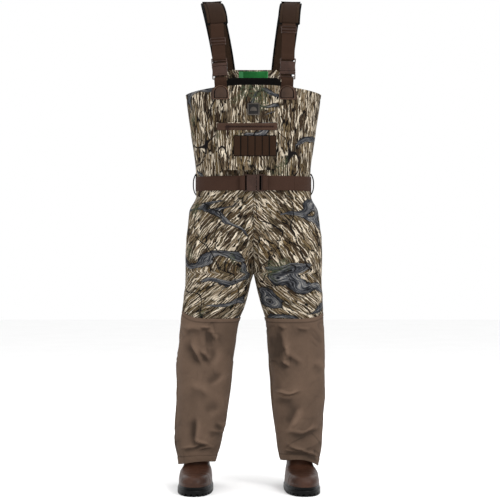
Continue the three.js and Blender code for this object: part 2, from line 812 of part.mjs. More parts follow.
for (const side of SIDES) {
  const layout = STRAP_LAYOUT[side.name];
  const patch = new THREE.Group();
  const patchTop = BIB_TOP - 1;
  patch.position.set(layout.foot, 0, patchTop);
  body.add(patch);
  const patchBack =
    Math.min(
      frontSurface(BIB_TOP, layout.foot - side.sign * (STRAP_WIDTH / 2 + 5)),
      frontSurface(BIB_TOP - PATCH.height, layout.foot - side.sign * (STRAP_WIDTH / 2 + 5)),
    ) - 2 * GAP;
  add(
    "strap_anchor_" + side.name,
    standingPlate(patchShape(STRAP_WIDTH + 10), patchBack - PATCH.thickness, patchBack),
    padding,
    patch,
  );

  const strap = new THREE.Group();
  const run = SHOULDER - patchTop;
  strap.position.set(layout.foot, footY, patchTop);
  strap.rotation.x = -STRAP_TILT;
  strap.rotation.y = Math.atan2((layout.top - layout.foot) * 0.55, run);
  body.add(strap);
  const across = new THREE.Vector3(1, 0, 0);

  const upperBar = BUCKLE_FOOT + BUCKLE_LENGTH - BAR / 2;
  const lowerBar = BUCKLE_FOOT + BAR / 2;
  const tab = foldPoints(lowerBar, 1.5, -1, 15, 0).slice(2);
  tab.unshift(new THREE.Vector3(0, -LOOP_RADIUS, 2));
  add("strap_tab_" + side.name, ribbon(tab, across, STRAP_WIDTH, WEBBING), webbing, strap);
  add(
    "strap_free_run_" + side.name,
    ribbon(
      foldPoints(upperBar, PAD_START - 3 * GAP, 1, 15, 0),
      across,
      STRAP_WIDTH,
      WEBBING,
    ),
    webbing,
    strap,
  );

  const buckleFrame = new THREE.Group();
  buckleFrame.position.z = BUCKLE_FOOT + (layout.plugAbove ? 0 : BUCKLE_LENGTH);
  buckleFrame.rotation.y = layout.plugAbove ? 0 : Math.PI;
  strap.add(buckleFrame);
  const mark = "_" + side.name;
  add("strap_socket" + mark, socketGeometry(STRAP_WIDTH), buckle, buckleFrame);
  add("strap_plug" + mark, plugGeometry(STRAP_WIDTH), buckle, buckleFrame);
  add("strap_plug_arm_a" + mark, armGeometry(STRAP_WIDTH, 1), buckle, buckleFrame);
  const otherArm = armGeometry(STRAP_WIDTH, 1).scale(-1, 1, 1);
  add("strap_plug_arm_b" + mark, turnedInsideOut(otherArm), buckle, buckleFrame);

  const glide = add("strap_slider" + mark, glideGeometry(STRAP_WIDTH), buckle, strap);
  glide.position.z = layout.glide;

  // The pad and its webbing go over the shoulder and down to the back panel.
  strap.updateMatrixWorld(true);
  const start = new THREE.Vector3(0, 0, PAD_START).applyMatrix4(strap.matrix);
  const rise = new THREE.Vector3(0, 0, 1).transformDirection(strap.matrix);
  const crest = new THREE.Vector3(layout.top, 0, SHOULDER);
  const stack = PAD_STAND + PAD_THICKNESS + PAD_GAP + WEBBING / 2;
  const backSurface = -frontSurface(BIB_TOP, BACK_ANCHOR_X - PAD_WIDTH / 2);
  const tail = new THREE.Vector3(side.sign * BACK_ANCHOR_X, backSurface + stack, BIB_TOP + 30);
  const overFront = new THREE.CubicBezierCurve3(
    start,
    start.clone().addScaledVector(rise, 55),
    crest.clone().add(new THREE.Vector3(0, -55, 0)),
    crest,
  );
  const overBack = new THREE.CubicBezierCurve3(
    crest,
    crest.clone().add(new THREE.Vector3(0, 60, 0)),
    tail.clone().add(new THREE.Vector3(side.sign * 8, 0, 120)),
    tail,
  );
  const route = [...overFront.getPoints(9), ...overBack.getPoints(13).slice(1)];
  add(
    "strap_webbing" + mark,
    ribbon(route, across, STRAP_WIDTH, WEBBING),
    webbing,
  );
  const padRoute = route.map((p, k) => {
    const before = route[Math.max(k - 1, 0)];
    const after = route[Math.min(k + 1, route.length - 1)];
    const along = new THREE.Vector3().subVectors(after, before).normalize();
    const out = new THREE.Vector3().crossVectors(across, along).normalize();
    return p.clone().addScaledVector(out, -(WEBBING / 2 + PAD_GAP + PAD_THICKNESS / 2));
  });
  add("shoulder_pad" + mark, ribbon(padRoute, across, PAD_WIDTH, PAD_THICKNESS), padding);
}

// ---- Boots ----
// Each level of the upper: height above the sole's top, front and back ends and half width.
const HEEL = 105;
const TOE = HEEL - BOOT_LENGTH;
const SHAFT_FRONT = -54; // front of the shaft where the instep meets it
const shaftHalf = HEM_HALF_WIDTH - SHELL - 10.5; // room for the boot to turn inside the hem
const vamp = (share) => TOE + share * (SHAFT_FRONT - TOE);
const bootLevels = [
  { rise: GAP, front: TOE + 4, back: HEEL - 2, half: BOOT_HALF_WIDTH - 2 },
  { rise: 18, front: TOE + 1, back: HEEL, half: BOOT_HALF_WIDTH },
  { rise: 34, front: vamp(0.06), back: HEEL - 1, half: BOOT_HALF_WIDTH - 1 },
  { rise: 44, front: vamp(0.2), back: HEEL - 3, half: BOOT_HALF_WIDTH - 3 },
  { rise: 50, front: vamp(0.5), back: HEEL - 4, half: BOOT_HALF_WIDTH - 6 },
  { rise: 57, front: vamp(0.84), back: HEEL - 6, half: BOOT_HALF_WIDTH - 10 },
  { rise: 66, front: SHAFT_FRONT, back: HEEL - 9, half: shaftHalf },
  { rise: 80, front: SHAFT_FRONT + 13, back: HEEL - 16, half: shaftHalf - 1 },
  { rise: 105, front: SHAFT_FRONT + 22, back: HEEL - 23, half: shaftHalf - 1 },
  { rise: 130, front: SHAFT_FRONT + 24, back: HEEL - 27, half: shaftHalf },
  { rise: 170, front: SHAFT_FRONT + 24, back: HEEL - 27, half: shaftHalf + 1 },
];
const HEEL_NARROWING = 0.16;

function bootSection(level, angle, inset = 0) {
  const middle = (level.front + level.back) / 2;
  const y = middle + ((level.back - level.front) / 2 - inset) * power(Math.sin(angle));
  const share = THREE.MathUtils.clamp((y - TOE) / (HEEL - TOE), 0, 1);
  const narrowing = level.rise < 70 ? 1 - HEEL_NARROWING * share : 1 - HEEL_NARROWING * 0.5;
  return new THREE.Vector3((level.half * narrowing - inset) * power(Math.cos(angle)), y, 0);
}

function soleShape(inset) {
  const outline = new THREE.Shape();
  const count = 40;
  for (let k = 0; k < count; k++) {
    const p = bootSection(bootLevels[1], (2 * Math.PI * k) / count, inset);
    if (k === 0) outline.moveTo(p.x, p.y);
    else outline.lineTo(p.x, p.y);
  }
  return outline;
}

function flatExtrusion(shape, bottom, top) {
  const geometry = new THREE.ExtrudeGeometry(shape, { depth: top - bottom, bevelEnabled: false });
  return geometry.translate(0, 0, bottom);
}

for (const side of SIDES) {
  const boot = new THREE.Group();
  const hemMiddle = HEM_OUTER - HEM_HALF_WIDTH;
  boot.position.x = side.sign * hemMiddle - STANCE;
  boot.rotation.z = side.sign * THREE.MathUtils.degToRad(TOE_OUT[side.name]);
  body.add(boot);
  const mark = "_" + side.name;
  add(
    "boot_upper" + mark,
    thickSheet(
      (u, v) => {
        const level = bootLevels[Math.round(v * (bootLevels.length - 1))];
        const p = bootSection(level, 2 * Math.PI * u);
        return p.setZ(SOLE_THICKNESS + level.rise);
      },
      30,
      bootLevels.length - 1,
      RUBBER,
      true,
    ),
    rubber,
    boot,
  );
  add(
    "boot_outsole" + mark,
    combine(
      [flatExtrusion(soleShape(-1.5), 0, SOLE_THICKNESS)],
      [boxAt(200, 34, 14, 0, HEEL - 92, 0)],
    ),
    treadRubber,
    boot,
  );
  const insoleBottom = SOLE_THICKNESS + GAP;
  add(
    "boot_insole" + mark,
    flatExtrusion(soleShape(RUBBER + 5), insoleBottom, insoleBottom + 5),
    lining,
    boot,
  );
  const linerLevels = bootLevels.slice(8);
  add(
    "boot_liner" + mark,
    thickSheet(
      (u, v) => {
        const level = linerLevels[Math.round(v * (linerLevels.length - 1))];
        const p = bootSection(level, 2 * Math.PI * u, RUBBER + 1);
        return p.setZ(SOLE_THICKNESS + level.rise - 2);
      },
      24,
      linerLevels.length - 1,
      LINING,
      true,
    ),
    lining,
    boot,
  );
}

body.position.z = -ORIGIN_HEIGHT;

export default waders;
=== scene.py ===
import math
import bmesh
import bpy
import numpy as np
from mathutils import Matrix, Vector


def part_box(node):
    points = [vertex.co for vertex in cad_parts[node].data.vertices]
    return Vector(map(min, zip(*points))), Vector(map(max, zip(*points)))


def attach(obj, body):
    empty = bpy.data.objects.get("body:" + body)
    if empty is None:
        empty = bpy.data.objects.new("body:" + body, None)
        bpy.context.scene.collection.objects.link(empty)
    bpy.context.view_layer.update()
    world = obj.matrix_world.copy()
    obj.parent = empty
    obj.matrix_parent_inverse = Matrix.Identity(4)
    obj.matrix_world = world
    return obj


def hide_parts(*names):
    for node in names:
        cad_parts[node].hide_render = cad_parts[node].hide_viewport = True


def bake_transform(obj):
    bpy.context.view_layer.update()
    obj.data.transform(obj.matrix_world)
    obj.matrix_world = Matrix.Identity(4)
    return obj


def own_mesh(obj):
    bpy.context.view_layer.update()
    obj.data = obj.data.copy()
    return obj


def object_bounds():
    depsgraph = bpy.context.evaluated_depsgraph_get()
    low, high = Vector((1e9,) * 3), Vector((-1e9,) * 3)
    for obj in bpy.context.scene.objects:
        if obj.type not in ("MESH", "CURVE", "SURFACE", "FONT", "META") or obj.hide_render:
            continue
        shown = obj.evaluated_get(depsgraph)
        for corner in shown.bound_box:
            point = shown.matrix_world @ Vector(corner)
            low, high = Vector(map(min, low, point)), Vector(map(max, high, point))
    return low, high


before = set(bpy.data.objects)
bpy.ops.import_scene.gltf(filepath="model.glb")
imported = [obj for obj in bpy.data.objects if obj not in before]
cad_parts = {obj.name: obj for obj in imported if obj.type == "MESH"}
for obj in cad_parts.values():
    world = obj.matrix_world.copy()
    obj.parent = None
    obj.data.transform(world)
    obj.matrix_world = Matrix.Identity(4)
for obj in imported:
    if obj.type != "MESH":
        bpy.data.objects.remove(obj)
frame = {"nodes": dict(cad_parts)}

CAD_BOX = [list(corner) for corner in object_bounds()]
SOLE = CAD_BOX[0][2]  # heights below are counted up from the soles, in metres


# ---------------------------------------------------------------- driving sizes
HEM = 0.095
KNEE = 0.500
CROTCH = 0.748
WAIST = 1.057
BIB_TOP = 1.392
SHOULDER = 1.692
BACK_RISE = 0.081
CORNER_DROP = 0.024
WAIST_HALF = 0.199
CHEST_HALF = 0.236
HIP_HALF = 0.237
HEM_OUTER = HIP_HALF + 0.007
HEM_HALF = 0.0635
DEPTH = 0.118
STANCE = 0.018
BELT_WIDTH = 0.050
STRAP_WIDTH = 0.045
PAD_WIDTH = 0.076
WEBBING = 0.0022
CINCH = BELT_WIDTH / 2 + 0.014
ROUNDNESS = 2.3
SHELL = 0.003
SIDES = (("left", 1), ("right", -1))
OVERLAY_TOP = 0.592


# ---------------------------------------------------------------- curves and noise
def bell(distance, width):
    return np.exp(-((distance / width) ** 2))


def ledge(distance, softness, height=1.0):
    """A soft step: height where distance is below 0, and 0 where it is above."""
    return height / (1 + np.exp(distance / softness))


def unit(vectors):
    return vectors / np.linalg.norm(vectors, axis=-1, keepdims=True)


def run_length(points):
    """Length along a line of points, from its first one."""
    return np.concatenate([[0], np.cumsum(np.linalg.norm(np.diff(points, axis=0), axis=1))])


def smooth_curve(*levels):
    """A smooth curve through (height, value) points, with no overshoot and level beyond."""
    h = np.array([p[0] for p in levels])
    v = np.array([p[1] for p in levels])
    secant = np.diff(v) / np.diff(h)
    product = secant[:-1] * secant[1:]
    total = secant[:-1] + secant[1:]
    inner = np.where(product <= 0, 0, 2 * product / np.where(total == 0, 1, total))
    slope = np.concatenate([[secant[0]], inner, [secant[-1]]])

    def value(z):
        z = np.clip(z, h[0], h[-1])
        k = np.clip(np.searchsorted(h, z, side="right") - 1, 0, len(h) - 2)
        gap = h[k + 1] - h[k]
        t = (z - h[k]) / gap
        rise = (3 - 2 * t) * t * t
        bend = gap * t * (1 - t) * ((1 - t) * slope[k] - t * slope[k + 1])
        return v[k] + (v[k + 1] - v[k]) * rise + bend

    return value


outer_x = smooth_curve(
    (HEM, HEM_OUTER),
    (HEM + 0.068, HEM_OUTER + 0.011),
    (KNEE - 0.057, HEM_OUTER + 0.012),
    (KNEE + 0.069, HIP_HALF + 0.010),
    (CROTCH, HIP_HALF),
    (CROTCH + 0.070, HIP_HALF - 0.001),
    (WAIST - 0.096, (WAIST_HALF + HIP_HALF) / 2 + 0.006),
    (WAIST - CINCH, WAIST_HALF),
    (WAIST + CINCH, WAIST_HALF),
    (WAIST + 0.115, WAIST_HALF + 0.009),
    (BIB_TOP - 0.023, CHEST_HALF),
)
inner_x = smooth_curve(
    (HEM, HEM_OUTER - 2 * HEM_HALF),
    (HEM + 0.068, HEM_OUTER - 0.147),
    (KNEE - 0.057, HEM_OUTER - 0.1795),
    (KNEE + 0.069, 0.049),
    (CROTCH - 0.101, 0.0255),
    (CROTCH, 0.0),
    (CROTCH + 0.070, -0.030),
    (CROTCH + 0.132, -0.075),
    (WAIST - 0.096, -0.150),
    (WAIST - CINCH, -WAIST_HALF),
)
front_y = smooth_curve(
    (HEM, 0.086),
    (KNEE - 0.057, 0.090),
    (KNEE, 0.095),
    (KNEE + 0.069, 0.103),
    (CROTCH + 0.070, DEPTH + 0.002),
    (WAIST - CINCH, DEPTH),
    (WAIST + CINCH, DEPTH),
    (BIB_TOP, DEPTH + 0.004),
)
back_y = smooth_curve(
    (HEM, 0.086),
    (KNEE - 0.057, 0.090),
    (KNEE, 0.095),
    (KNEE + 0.069, 0.105),
    (CROTCH + 0.040, DEPTH + 0.009),
    (CROTCH + 0.132, DEPTH + 0.012),
    (WAIST - CINCH, DEPTH),
    (WAIST + CINCH, DEPTH),
    (BIB_TOP, DEPTH + 0.004),
)
centre_y = smooth_curve((HEM, 0.018), (KNEE - 0.057, 0.0))


def power(value, exponent=2 / ROUNDNESS):
    return np.sign(value) * np.abs(value) ** exponent


def lean(z):
    return STANCE * np.clip((CROTCH - 0.048 - z) / (CROTCH - 0.148), 0, 1)


def on_body(z, angle, out=0.0):
    """Points on the left half's section. Angle 0 is the outer side, -pi the front middle."""
    outer = outer_x(z)
    inner = np.where(z >= WAIST - CINCH, -outer, inner_x(z))
    half = (outer - inner) / 2 + out
    depth = np.where(angle < 0, front_y(z), back_y(z)) + out
    x = (outer + inner) / 2 + half * power(np.cos(angle))
    y = centre_y(z) + depth * power(np.sin(angle))
    return np.stack([x, y, z], -1)


def seam_angle(z, gap):
    """Angle at which a section comes within gap of the garment's middle plane."""
    outer = outer_x(z)
    inner = np.where(z >= WAIST - CINCH, -outer, inner_x(z))
    reach = np.clip((gap - (outer + inner) / 2) / ((outer - inner) / 2), -1, 1)
    return np.arccos(power(reach, ROUNDNESS / 2))


# ---------------------------------------------------------------- mesh making
def link(name, data):
    obj = bpy.data.objects.new(name, data)
    bpy.context.scene.collection.objects.link(obj)
    return obj


def from_bmesh(name, bm):
    mesh = bpy.data.meshes.new(name)
    bm.to_mesh(mesh)
    bm.free()
    return link(name, mesh)


def make_object(name, verts, faces, uvs=None):
    """A smooth mesh object. uvs holds one (u, v) for each corner of each face, in order."""
    mesh = bpy.data.meshes.new(name)
    mesh.from_pydata([tuple(v) for v in verts], [], [tuple(f) for f in faces])
    if uvs is not None:
        layer = mesh.uv_layers.new(name="UVMap")
        layer.data.foreach_set("uv", np.asarray(uvs, np.float32).reshape(-1))
    mesh.polygons.foreach_set("use_smooth", [True] * len(mesh.polygons))
    return link(name, mesh)


def apply_modifiers(obj):
    bpy.context.view_layer.update()
    evaluated = obj.evaluated_get(bpy.context.evaluated_depsgraph_get())
    mesh = bpy.data.meshes.new_from_object(evaluated)
    obj.modifiers.clear()
    old = obj.data
    obj.data = mesh
    bpy.data.meshes.remove(old)


def add_bevel(obj, width, segments=3, limit=30):
    bevel = obj.modifiers.new("bevel", "BEVEL")
    bevel.width = width
    bevel.segments = segments
    bevel.limit_method = "ANGLE"
    bevel.angle_limit = math.radians(limit)


def subtract(obj, cutter):
    cut = obj.modifiers.new("cut", "BOOLEAN")
    cut.operation = "DIFFERENCE"
    cut.solver = "EXACT"
    cut.object = cutter


def normals_of(points, wrap):
    """Outward unit normals of a grid of points with u to the right and v upwards."""
    if wrap:
        along = np.roll(points, -1, 1) - np.roll(points, 1, 1)
    else:
        along = np.gradient(points, axis=1)
    up = np.gradient(points, axis=0)
    normal = np.cross(along, up)
    return normal / np.maximum(np.linalg.norm(normal, axis=-1, keepdims=True), 1e-12)


def pushed(points, lift, wrap):
    """A grid of points moved outwards by lift."""
    return points + normals_of(points, wrap) * lift[..., None]


def grid_object(name, points, uv, wrap=False, thickness=0.0, weld=False, fold=None):
    """A sheet over a grid [row, column, xyz], with heights from the soles. If it wraps round,
    uv has one more column than points. fold is a tone for each point, with the painted shade and highlight
    from crease_tone, kept as the point attribute fold."""
    rows, columns = points.shape[:2]
    index = np.arange(rows * columns).reshape(rows, columns)
    right = np.roll(index, -1, 1) if wrap else index[:, 1:]
    left = index if wrap else index[:, :-1]
    faces = np.stack([left[:-1], right[:-1], right[1:], left[1:]], -1).reshape(-1, 4)
    corners = np.stack([uv[:-1, :-1], uv[:-1, 1:], uv[1:, 1:], uv[1:, :-1]], 2)
    verts = points.reshape(-1, 3) + np.array([0, 0, SOLE])
    obj = make_object(name, verts, faces.tolist(), corners.reshape(-1, 2))
    if fold is not None:
        tone_and_shade = obj.data.attributes.new("fold", "FLOAT", "POINT")
        tone_and_shade.data.foreach_set("value", np.asarray(fold, np.float32).reshape(-1))
    if weld:
        w = obj.modifiers.new("weld", "WELD")
        w.merge_threshold = 0.0008
    if thickness:
        solid = obj.modifiers.new("thickness", "SOLIDIFY")
        solid.thickness = thickness
        solid.offset = -1
        solid.use_even_offset = False
    if weld or thickness:
        apply_modifiers(obj)
    return obj


def arc_lengths(points, wrap):
    """Length along each row from its first column, for the cloth's own coordinates."""
    closed = np.concatenate([points, points[:, :1]], 1) if wrap else points
    steps = np.linalg.norm(np.diff(closed, axis=1), axis=-1)
    return np.concatenate([np.zeros((len(points), 1)), np.cumsum(steps, 1)], 1)


def wrapped_uv(points, z, centred=False):
    u = arc_lengths(points, True)
    if centred:
        u = u - u[:, -1:] / 2
    return np.stack([u, np.concatenate([z, z[:, :1]], 1)], -1)


NOISE_CELLS = 64


def value_noise(x, y, seed, octaves=3):
    """Smooth repeatable noise between about -1 and 1 over two coordinates."""
    total = np.zeros(np.broadcast(x, y).shape)
    source = np.random.default_rng(seed)
    for octave in range(octaves):
        table = source.uniform(-1, 1, (NOISE_CELLS, NOISE_CELLS))
        sx, sy = x * 2**octave, y * 2**octave
        ix, iy = np.floor(sx).astype(int), np.floor(sy).astype(int)
        fx, fy = sx - ix, sy - iy
        fx, fy = fx * fx * (3 - 2 * fx), fy * fy * (3 - 2 * fy)
        left, right = ix % NOISE_CELLS, (ix + 1) % NOISE_CELLS
        low, high = iy % NOISE_CELLS, (iy + 1) % NOISE_CELLS
        a = table[left, low] * (1 - fx) + table[right, low] * fx
        b = table[left, high] * (1 - fx) + table[right, high] * fx
        total += (a * (1 - fy) + b * fy) / 2**octave
    return total


def from_line(x, z, start, end):
    """Share of the way from start to end, and distance to the line's lower side."""
    ax, az = start
    dx, dz = end[0] - ax, end[1] - az
    length = math.hypot(dx, dz)
    t = ((x - ax) * dx + (z - az) * dz) / length**2
    off = ((x - ax) * dz - (z - az) * dx) / length
    return t, off


def crease(x, z, start, end, width, depth):
    """Height of a fold along the line start to end: a valley with a swollen lip above it."""
    t, off = from_line(x, z, start, end)
    taper = bell(np.clip(np.abs(t - 0.5) - 0.20, 0, None), 0.25)
    valley = -0.6 * bell(off, width)
    lip = 0.70 * bell(off + 1.35 * width, 1.05 * width)
    swell = 0.30 * bell(off + 3.2 * width, 2.6 * width)
    return depth * taper * (valley + lip + swell)


def crease_tone(x, z, start, end, width, depth):
    """Painted shade in a fold's valley (below 0) and a painted highlight on its lip (above 0)."""
    t, off = from_line(x, z, start, end)
    taper = bell(np.clip(np.abs(t - 0.5) - 0.18, 0, None), 0.24)
    shading = np.where(off > -0.2 * width, bell(np.maximum(off, 0), 1.9 * width), 0)
    shading = np.maximum(shading, bell(off, 0.7 * width))
    lit_lip = bell(off + 1.5 * width, 1.1 * width)
    return taper * min(1.0, depth / 0.009) * (0.7 * lit_lip - 1.1 * shading)


def fine_wrinkles(x, z):
    """Height of the small creases between the folds and the painted shade in them, most at the knee and the
    ankle.
    """
    where = bell(z - 0.50, 0.09) + bell(z - 0.15, 0.07) + 0.35
    height, tone = 0.0, 0.0
    for seed, turn, pitch in ((71, 0.5, 34), (72, -0.9, 30), (73, 1.5, 38)):
        along = x * math.cos(turn) + z * math.sin(turn)
        over = z * math.cos(turn) - x * math.sin(turn)
        line = value_noise(along * pitch * 0.45 + 5, over * pitch + 40, seed, 2)
        patch = np.clip(value_noise(x * 14 + seed, z * 11 + 7, seed + 10, 2) * 1.6 - 0.1, 0, 1)
        ridge = bell(line, 0.21) * patch * where
        height = height - 0.0016 * ridge
        # painted shade in each small crease
        tone = tone - 0.40 * ridge
    return height, tone


def strip(name, points, across, width, thickness, crown=0.0, round_share=0.45):
    """Webbing or a pad: a flat bar with rounded edges that follows points."""
    points = np.asarray(points, float)
    along = unit(np.gradient(points, axis=0))
    across = np.broadcast_to(np.asarray(across, float), points.shape)
    side = unit(across - along * np.sum(across * along, 1, keepdims=True))
    out = np.cross(side, along)
    r = thickness * round_share
    section = []
    for sx, sy, first in ((1, 1, 0), (-1, 1, 90), (-1, -1, 180), (1, -1, 270)):
        for step in range(4):
            a = math.radians(first + 30 * step)
            across_by = sx * (width / 2 - r) + r * math.cos(a)
            section.append((across_by, sy * (thickness / 2 - r) + r * math.sin(a)))
        if sx == sy:
            inset = width / 2 - r
            for share in (0.66, 0.33, 0, -0.33, -0.66):
                section.append((sx * inset * share, sy * (thickness / 2 + crown * (1 - share**2))))
    section = np.array(section)
    verts = points[:, None] + section[None, :, :1] * side[:, None]
    verts = verts + section[None, :, 1:] * out[:, None]
    rows, columns = verts.shape[:2]
    run = run_length(points)
    around = np.append(section[:, 0], section[0, 0])
    uv = np.stack(np.broadcast_arrays(around[None], run[:, None]), -1)
    index = np.arange(rows * columns).reshape(rows, columns)
    nxt = np.roll(index, -1, 1)
    faces = np.stack([nxt[:-1], index[:-1], index[1:], nxt[1:]], -1).reshape(-1, 4).tolist()
    corners = np.stack([uv[:-1, 1:], uv[:-1, :-1], uv[1:, :-1], uv[1:, 1:]], 2).reshape(-1, 2)
    ends = [index[0].tolist(), index[-1][::-1].tolist()]
    end_uv = np.concatenate([uv[0, :-1], uv[-1, :-1][::-1]])
    uvs = np.concatenate([corners, end_uv])
    return make_object(name, verts.reshape(-1, 3), faces + ends, uvs)


def slab(outline, low, high, bevel=0.001, holes=()):
    """A plate: an outline in x and z, from y = low to y = high, with rounded edges."""
    bm = bmesh.new()
    face = bm.faces.new([bm.verts.new((x, low, z)) for x, z in outline])
    made = bmesh.ops.extrude_face_region(bm, geom=[face])
    far = [v for v in made["geom"] if isinstance(v, bmesh.types.BMVert)]
    bmesh.ops.translate(bm, vec=(0, high - low, 0), verts=far)
    bmesh.ops.recalc_face_normals(bm, faces=bm.faces)
    obj = from_bmesh("slab", bm)
    for x0, x1, z0, z1 in holes:
        cut_box(obj, (x0, low - 0.02, z0), (x1, high + 0.02, z1))
    if bevel:
        add_bevel(obj, bevel, limit=40)
    apply_modifiers(obj)
    return obj


def cut_box(obj, low, high):
    bm = bmesh.new()
    bmesh.ops.create_cube(bm, size=1)
    cutter = from_bmesh("cutter", bm)
    cutter.scale = [high[k] - low[k] for k in range(3)]
    cutter.location = [(high[k] + low[k]) / 2 for k in range(3)]
    subtract(obj, cutter)
    apply_modifiers(obj)
    bpy.data.objects.remove(cutter)


SHARP_ANGLE = math.radians(38)


def join(name, objects, matrix=None):
    """One object made of several, moved by a matrix, with a sharp look at its sharp edges."""
    bm = bmesh.new()
    for obj in objects:
        obj.data.transform(obj.matrix_world)
        bm.from_mesh(obj.data)
        bpy.data.objects.remove(obj)
    for f in bm.faces:
        f.smooth = True
    for e in bm.edges:
        if len(e.link_faces) == 2 and e.calc_face_angle(0) > SHARP_ANGLE:
            e.smooth = False
    whole = from_bmesh(name, bm)
    if matrix is not None:
        whole.data.transform(matrix)
    return whole


def rounded(x0, x1, z0, z1, r, steps=5):
    """A rectangle's outline with round corners."""
    points = []
    corners = (
        (x1 - r, z1 - r, 0), (x0 + r, z1 - r, 90),
        (x0 + r, z0 + r, 180), (x1 - r, z0 + r, 270),
    )
    for cx, cz, first in corners:
        for k in range(steps + 1):
            a = math.radians(first + 90 * k / steps)
            points.append((cx + r * math.cos(a), cz + r * math.sin(a)))
    return points


# ---------------------------------------------------------------- materials
def linear(color):
    """A colour of 0 to 255 parts as Blender's linear colour."""
    parts = (c / 255 / 12.92 if c <= 10 else ((c / 255 + 0.055) / 1.055) ** 2.4 for c in color)
    return tuple(parts) + (1.0,)


def darker(color, share):
    return tuple(c * share for c in color)


def paler(color, share, extra):
    return tuple(min(255, c * share + extra) for c in color)


class Shader:
    """A material with a Principled shader, and short calls that add nodes to it."""

    def __init__(self, name, roughness, specular):
        self.material = bpy.data.materials.new(name)
        self.material.use_nodes = True
        self.tree = self.material.node_tree
        self.bsdf = self.tree.nodes["Principled BSDF"]
        self.bsdf.inputs["Roughness"].default_value = roughness
        self.bsdf.inputs["Specular IOR Level"].default_value = specular

    def add(self, kind, inputs=None, **settings):
        node = self.tree.nodes.new("ShaderNode" + kind)
        for key, value in settings.items():
            setattr(node, key, value)
        for key, value in (inputs or {}).items():
            if isinstance(value, bpy.types.NodeSocket):
                self.tree.links.new(value, node.inputs[key])
            else:
                node.inputs[key].default_value = value
        return node

    def coordinates(self, kind="UV"):
        return self.add("TexCoord").outputs[kind]

    def scaled(self, vector, scale, turn=0.0):
        mapping = self.add("Mapping", {"Vector": vector})
        mapping.inputs["Scale"].default_value = scale
        mapping.inputs["Rotation"].default_value = (0, 0, turn)
        return mapping.outputs["Vector"]

    def noise(self, vector, scale, detail=3.0, rough=0.55):
        inputs = {"Vector": vector, "Scale": scale, "Detail": detail, "Roughness": rough}
        return self.add("TexNoise", inputs).outputs["Fac"]

    def math(self, operation, a, b=0.0):
        return self.add("Math", {0: a, 1: b}, operation=operation).outputs[0]

    def product(self, a, b):
        return self.math("MULTIPLY", a, b)

    def vector(self, operation, a, b):
        return self.add("VectorMath", {0: a, 1: b}, operation=operation).outputs[0]

    def mix(self, factor, a, b):
        return self.add("Mix", {0: factor, 6: a, 7: b}, data_type="RGBA").outputs[2]

    def ramp(self, factor, stops, constant=False):
        node = self.add("ValToRGB", {"Fac": factor})
        ramp = node.color_ramp
        ramp.interpolation = "CONSTANT" if constant else "LINEAR"
        while len(ramp.elements) < len(stops):
            ramp.elements.new(0.5)
        for element, (place, color) in zip(ramp.elements, stops):
            element.position = place
            element.color = linear(color)
        return node.outputs["Color"]

    def warped(self, vector, scale, reach):
        """The vector pushed about by smooth noise, by up to half of reach."""
        wander = self.add("TexNoise", {"Vector": vector, "Scale": scale, "Detail": 3.0})
        centred = self.vector("SUBTRACT", wander.outputs["Color"], (0.5, 0.5, 0.5))
        return self.vector("ADD", vector, self.vector("MULTIPLY", centred, reach))

    def step(self, value, low, high):
        """0 at low and 1 at high, and level beyond."""
        inputs = {"Value": value, "From Min": low, "From Max": high}
        return self.add("MapRange", inputs, clamp=True).outputs["Result"]

    def bump(self, height, distance, strength):
        inputs = {"Height": height, "Distance": distance, "Strength": strength}
        return self.add("Bump", inputs).outputs["Normal"]

    def finish(self, color, normal=None, roughness=None):
        self.tree.links.new(color, self.bsdf.inputs["Base Color"])
        if normal is not None:
            self.tree.links.new(normal, self.bsdf.inputs["Normal"])
        if roughness is not None:
            self.tree.links.new(roughness, self.bsdf.inputs["Roughness"])
        return self.material


BLACK_BARK = (14, 11, 8)


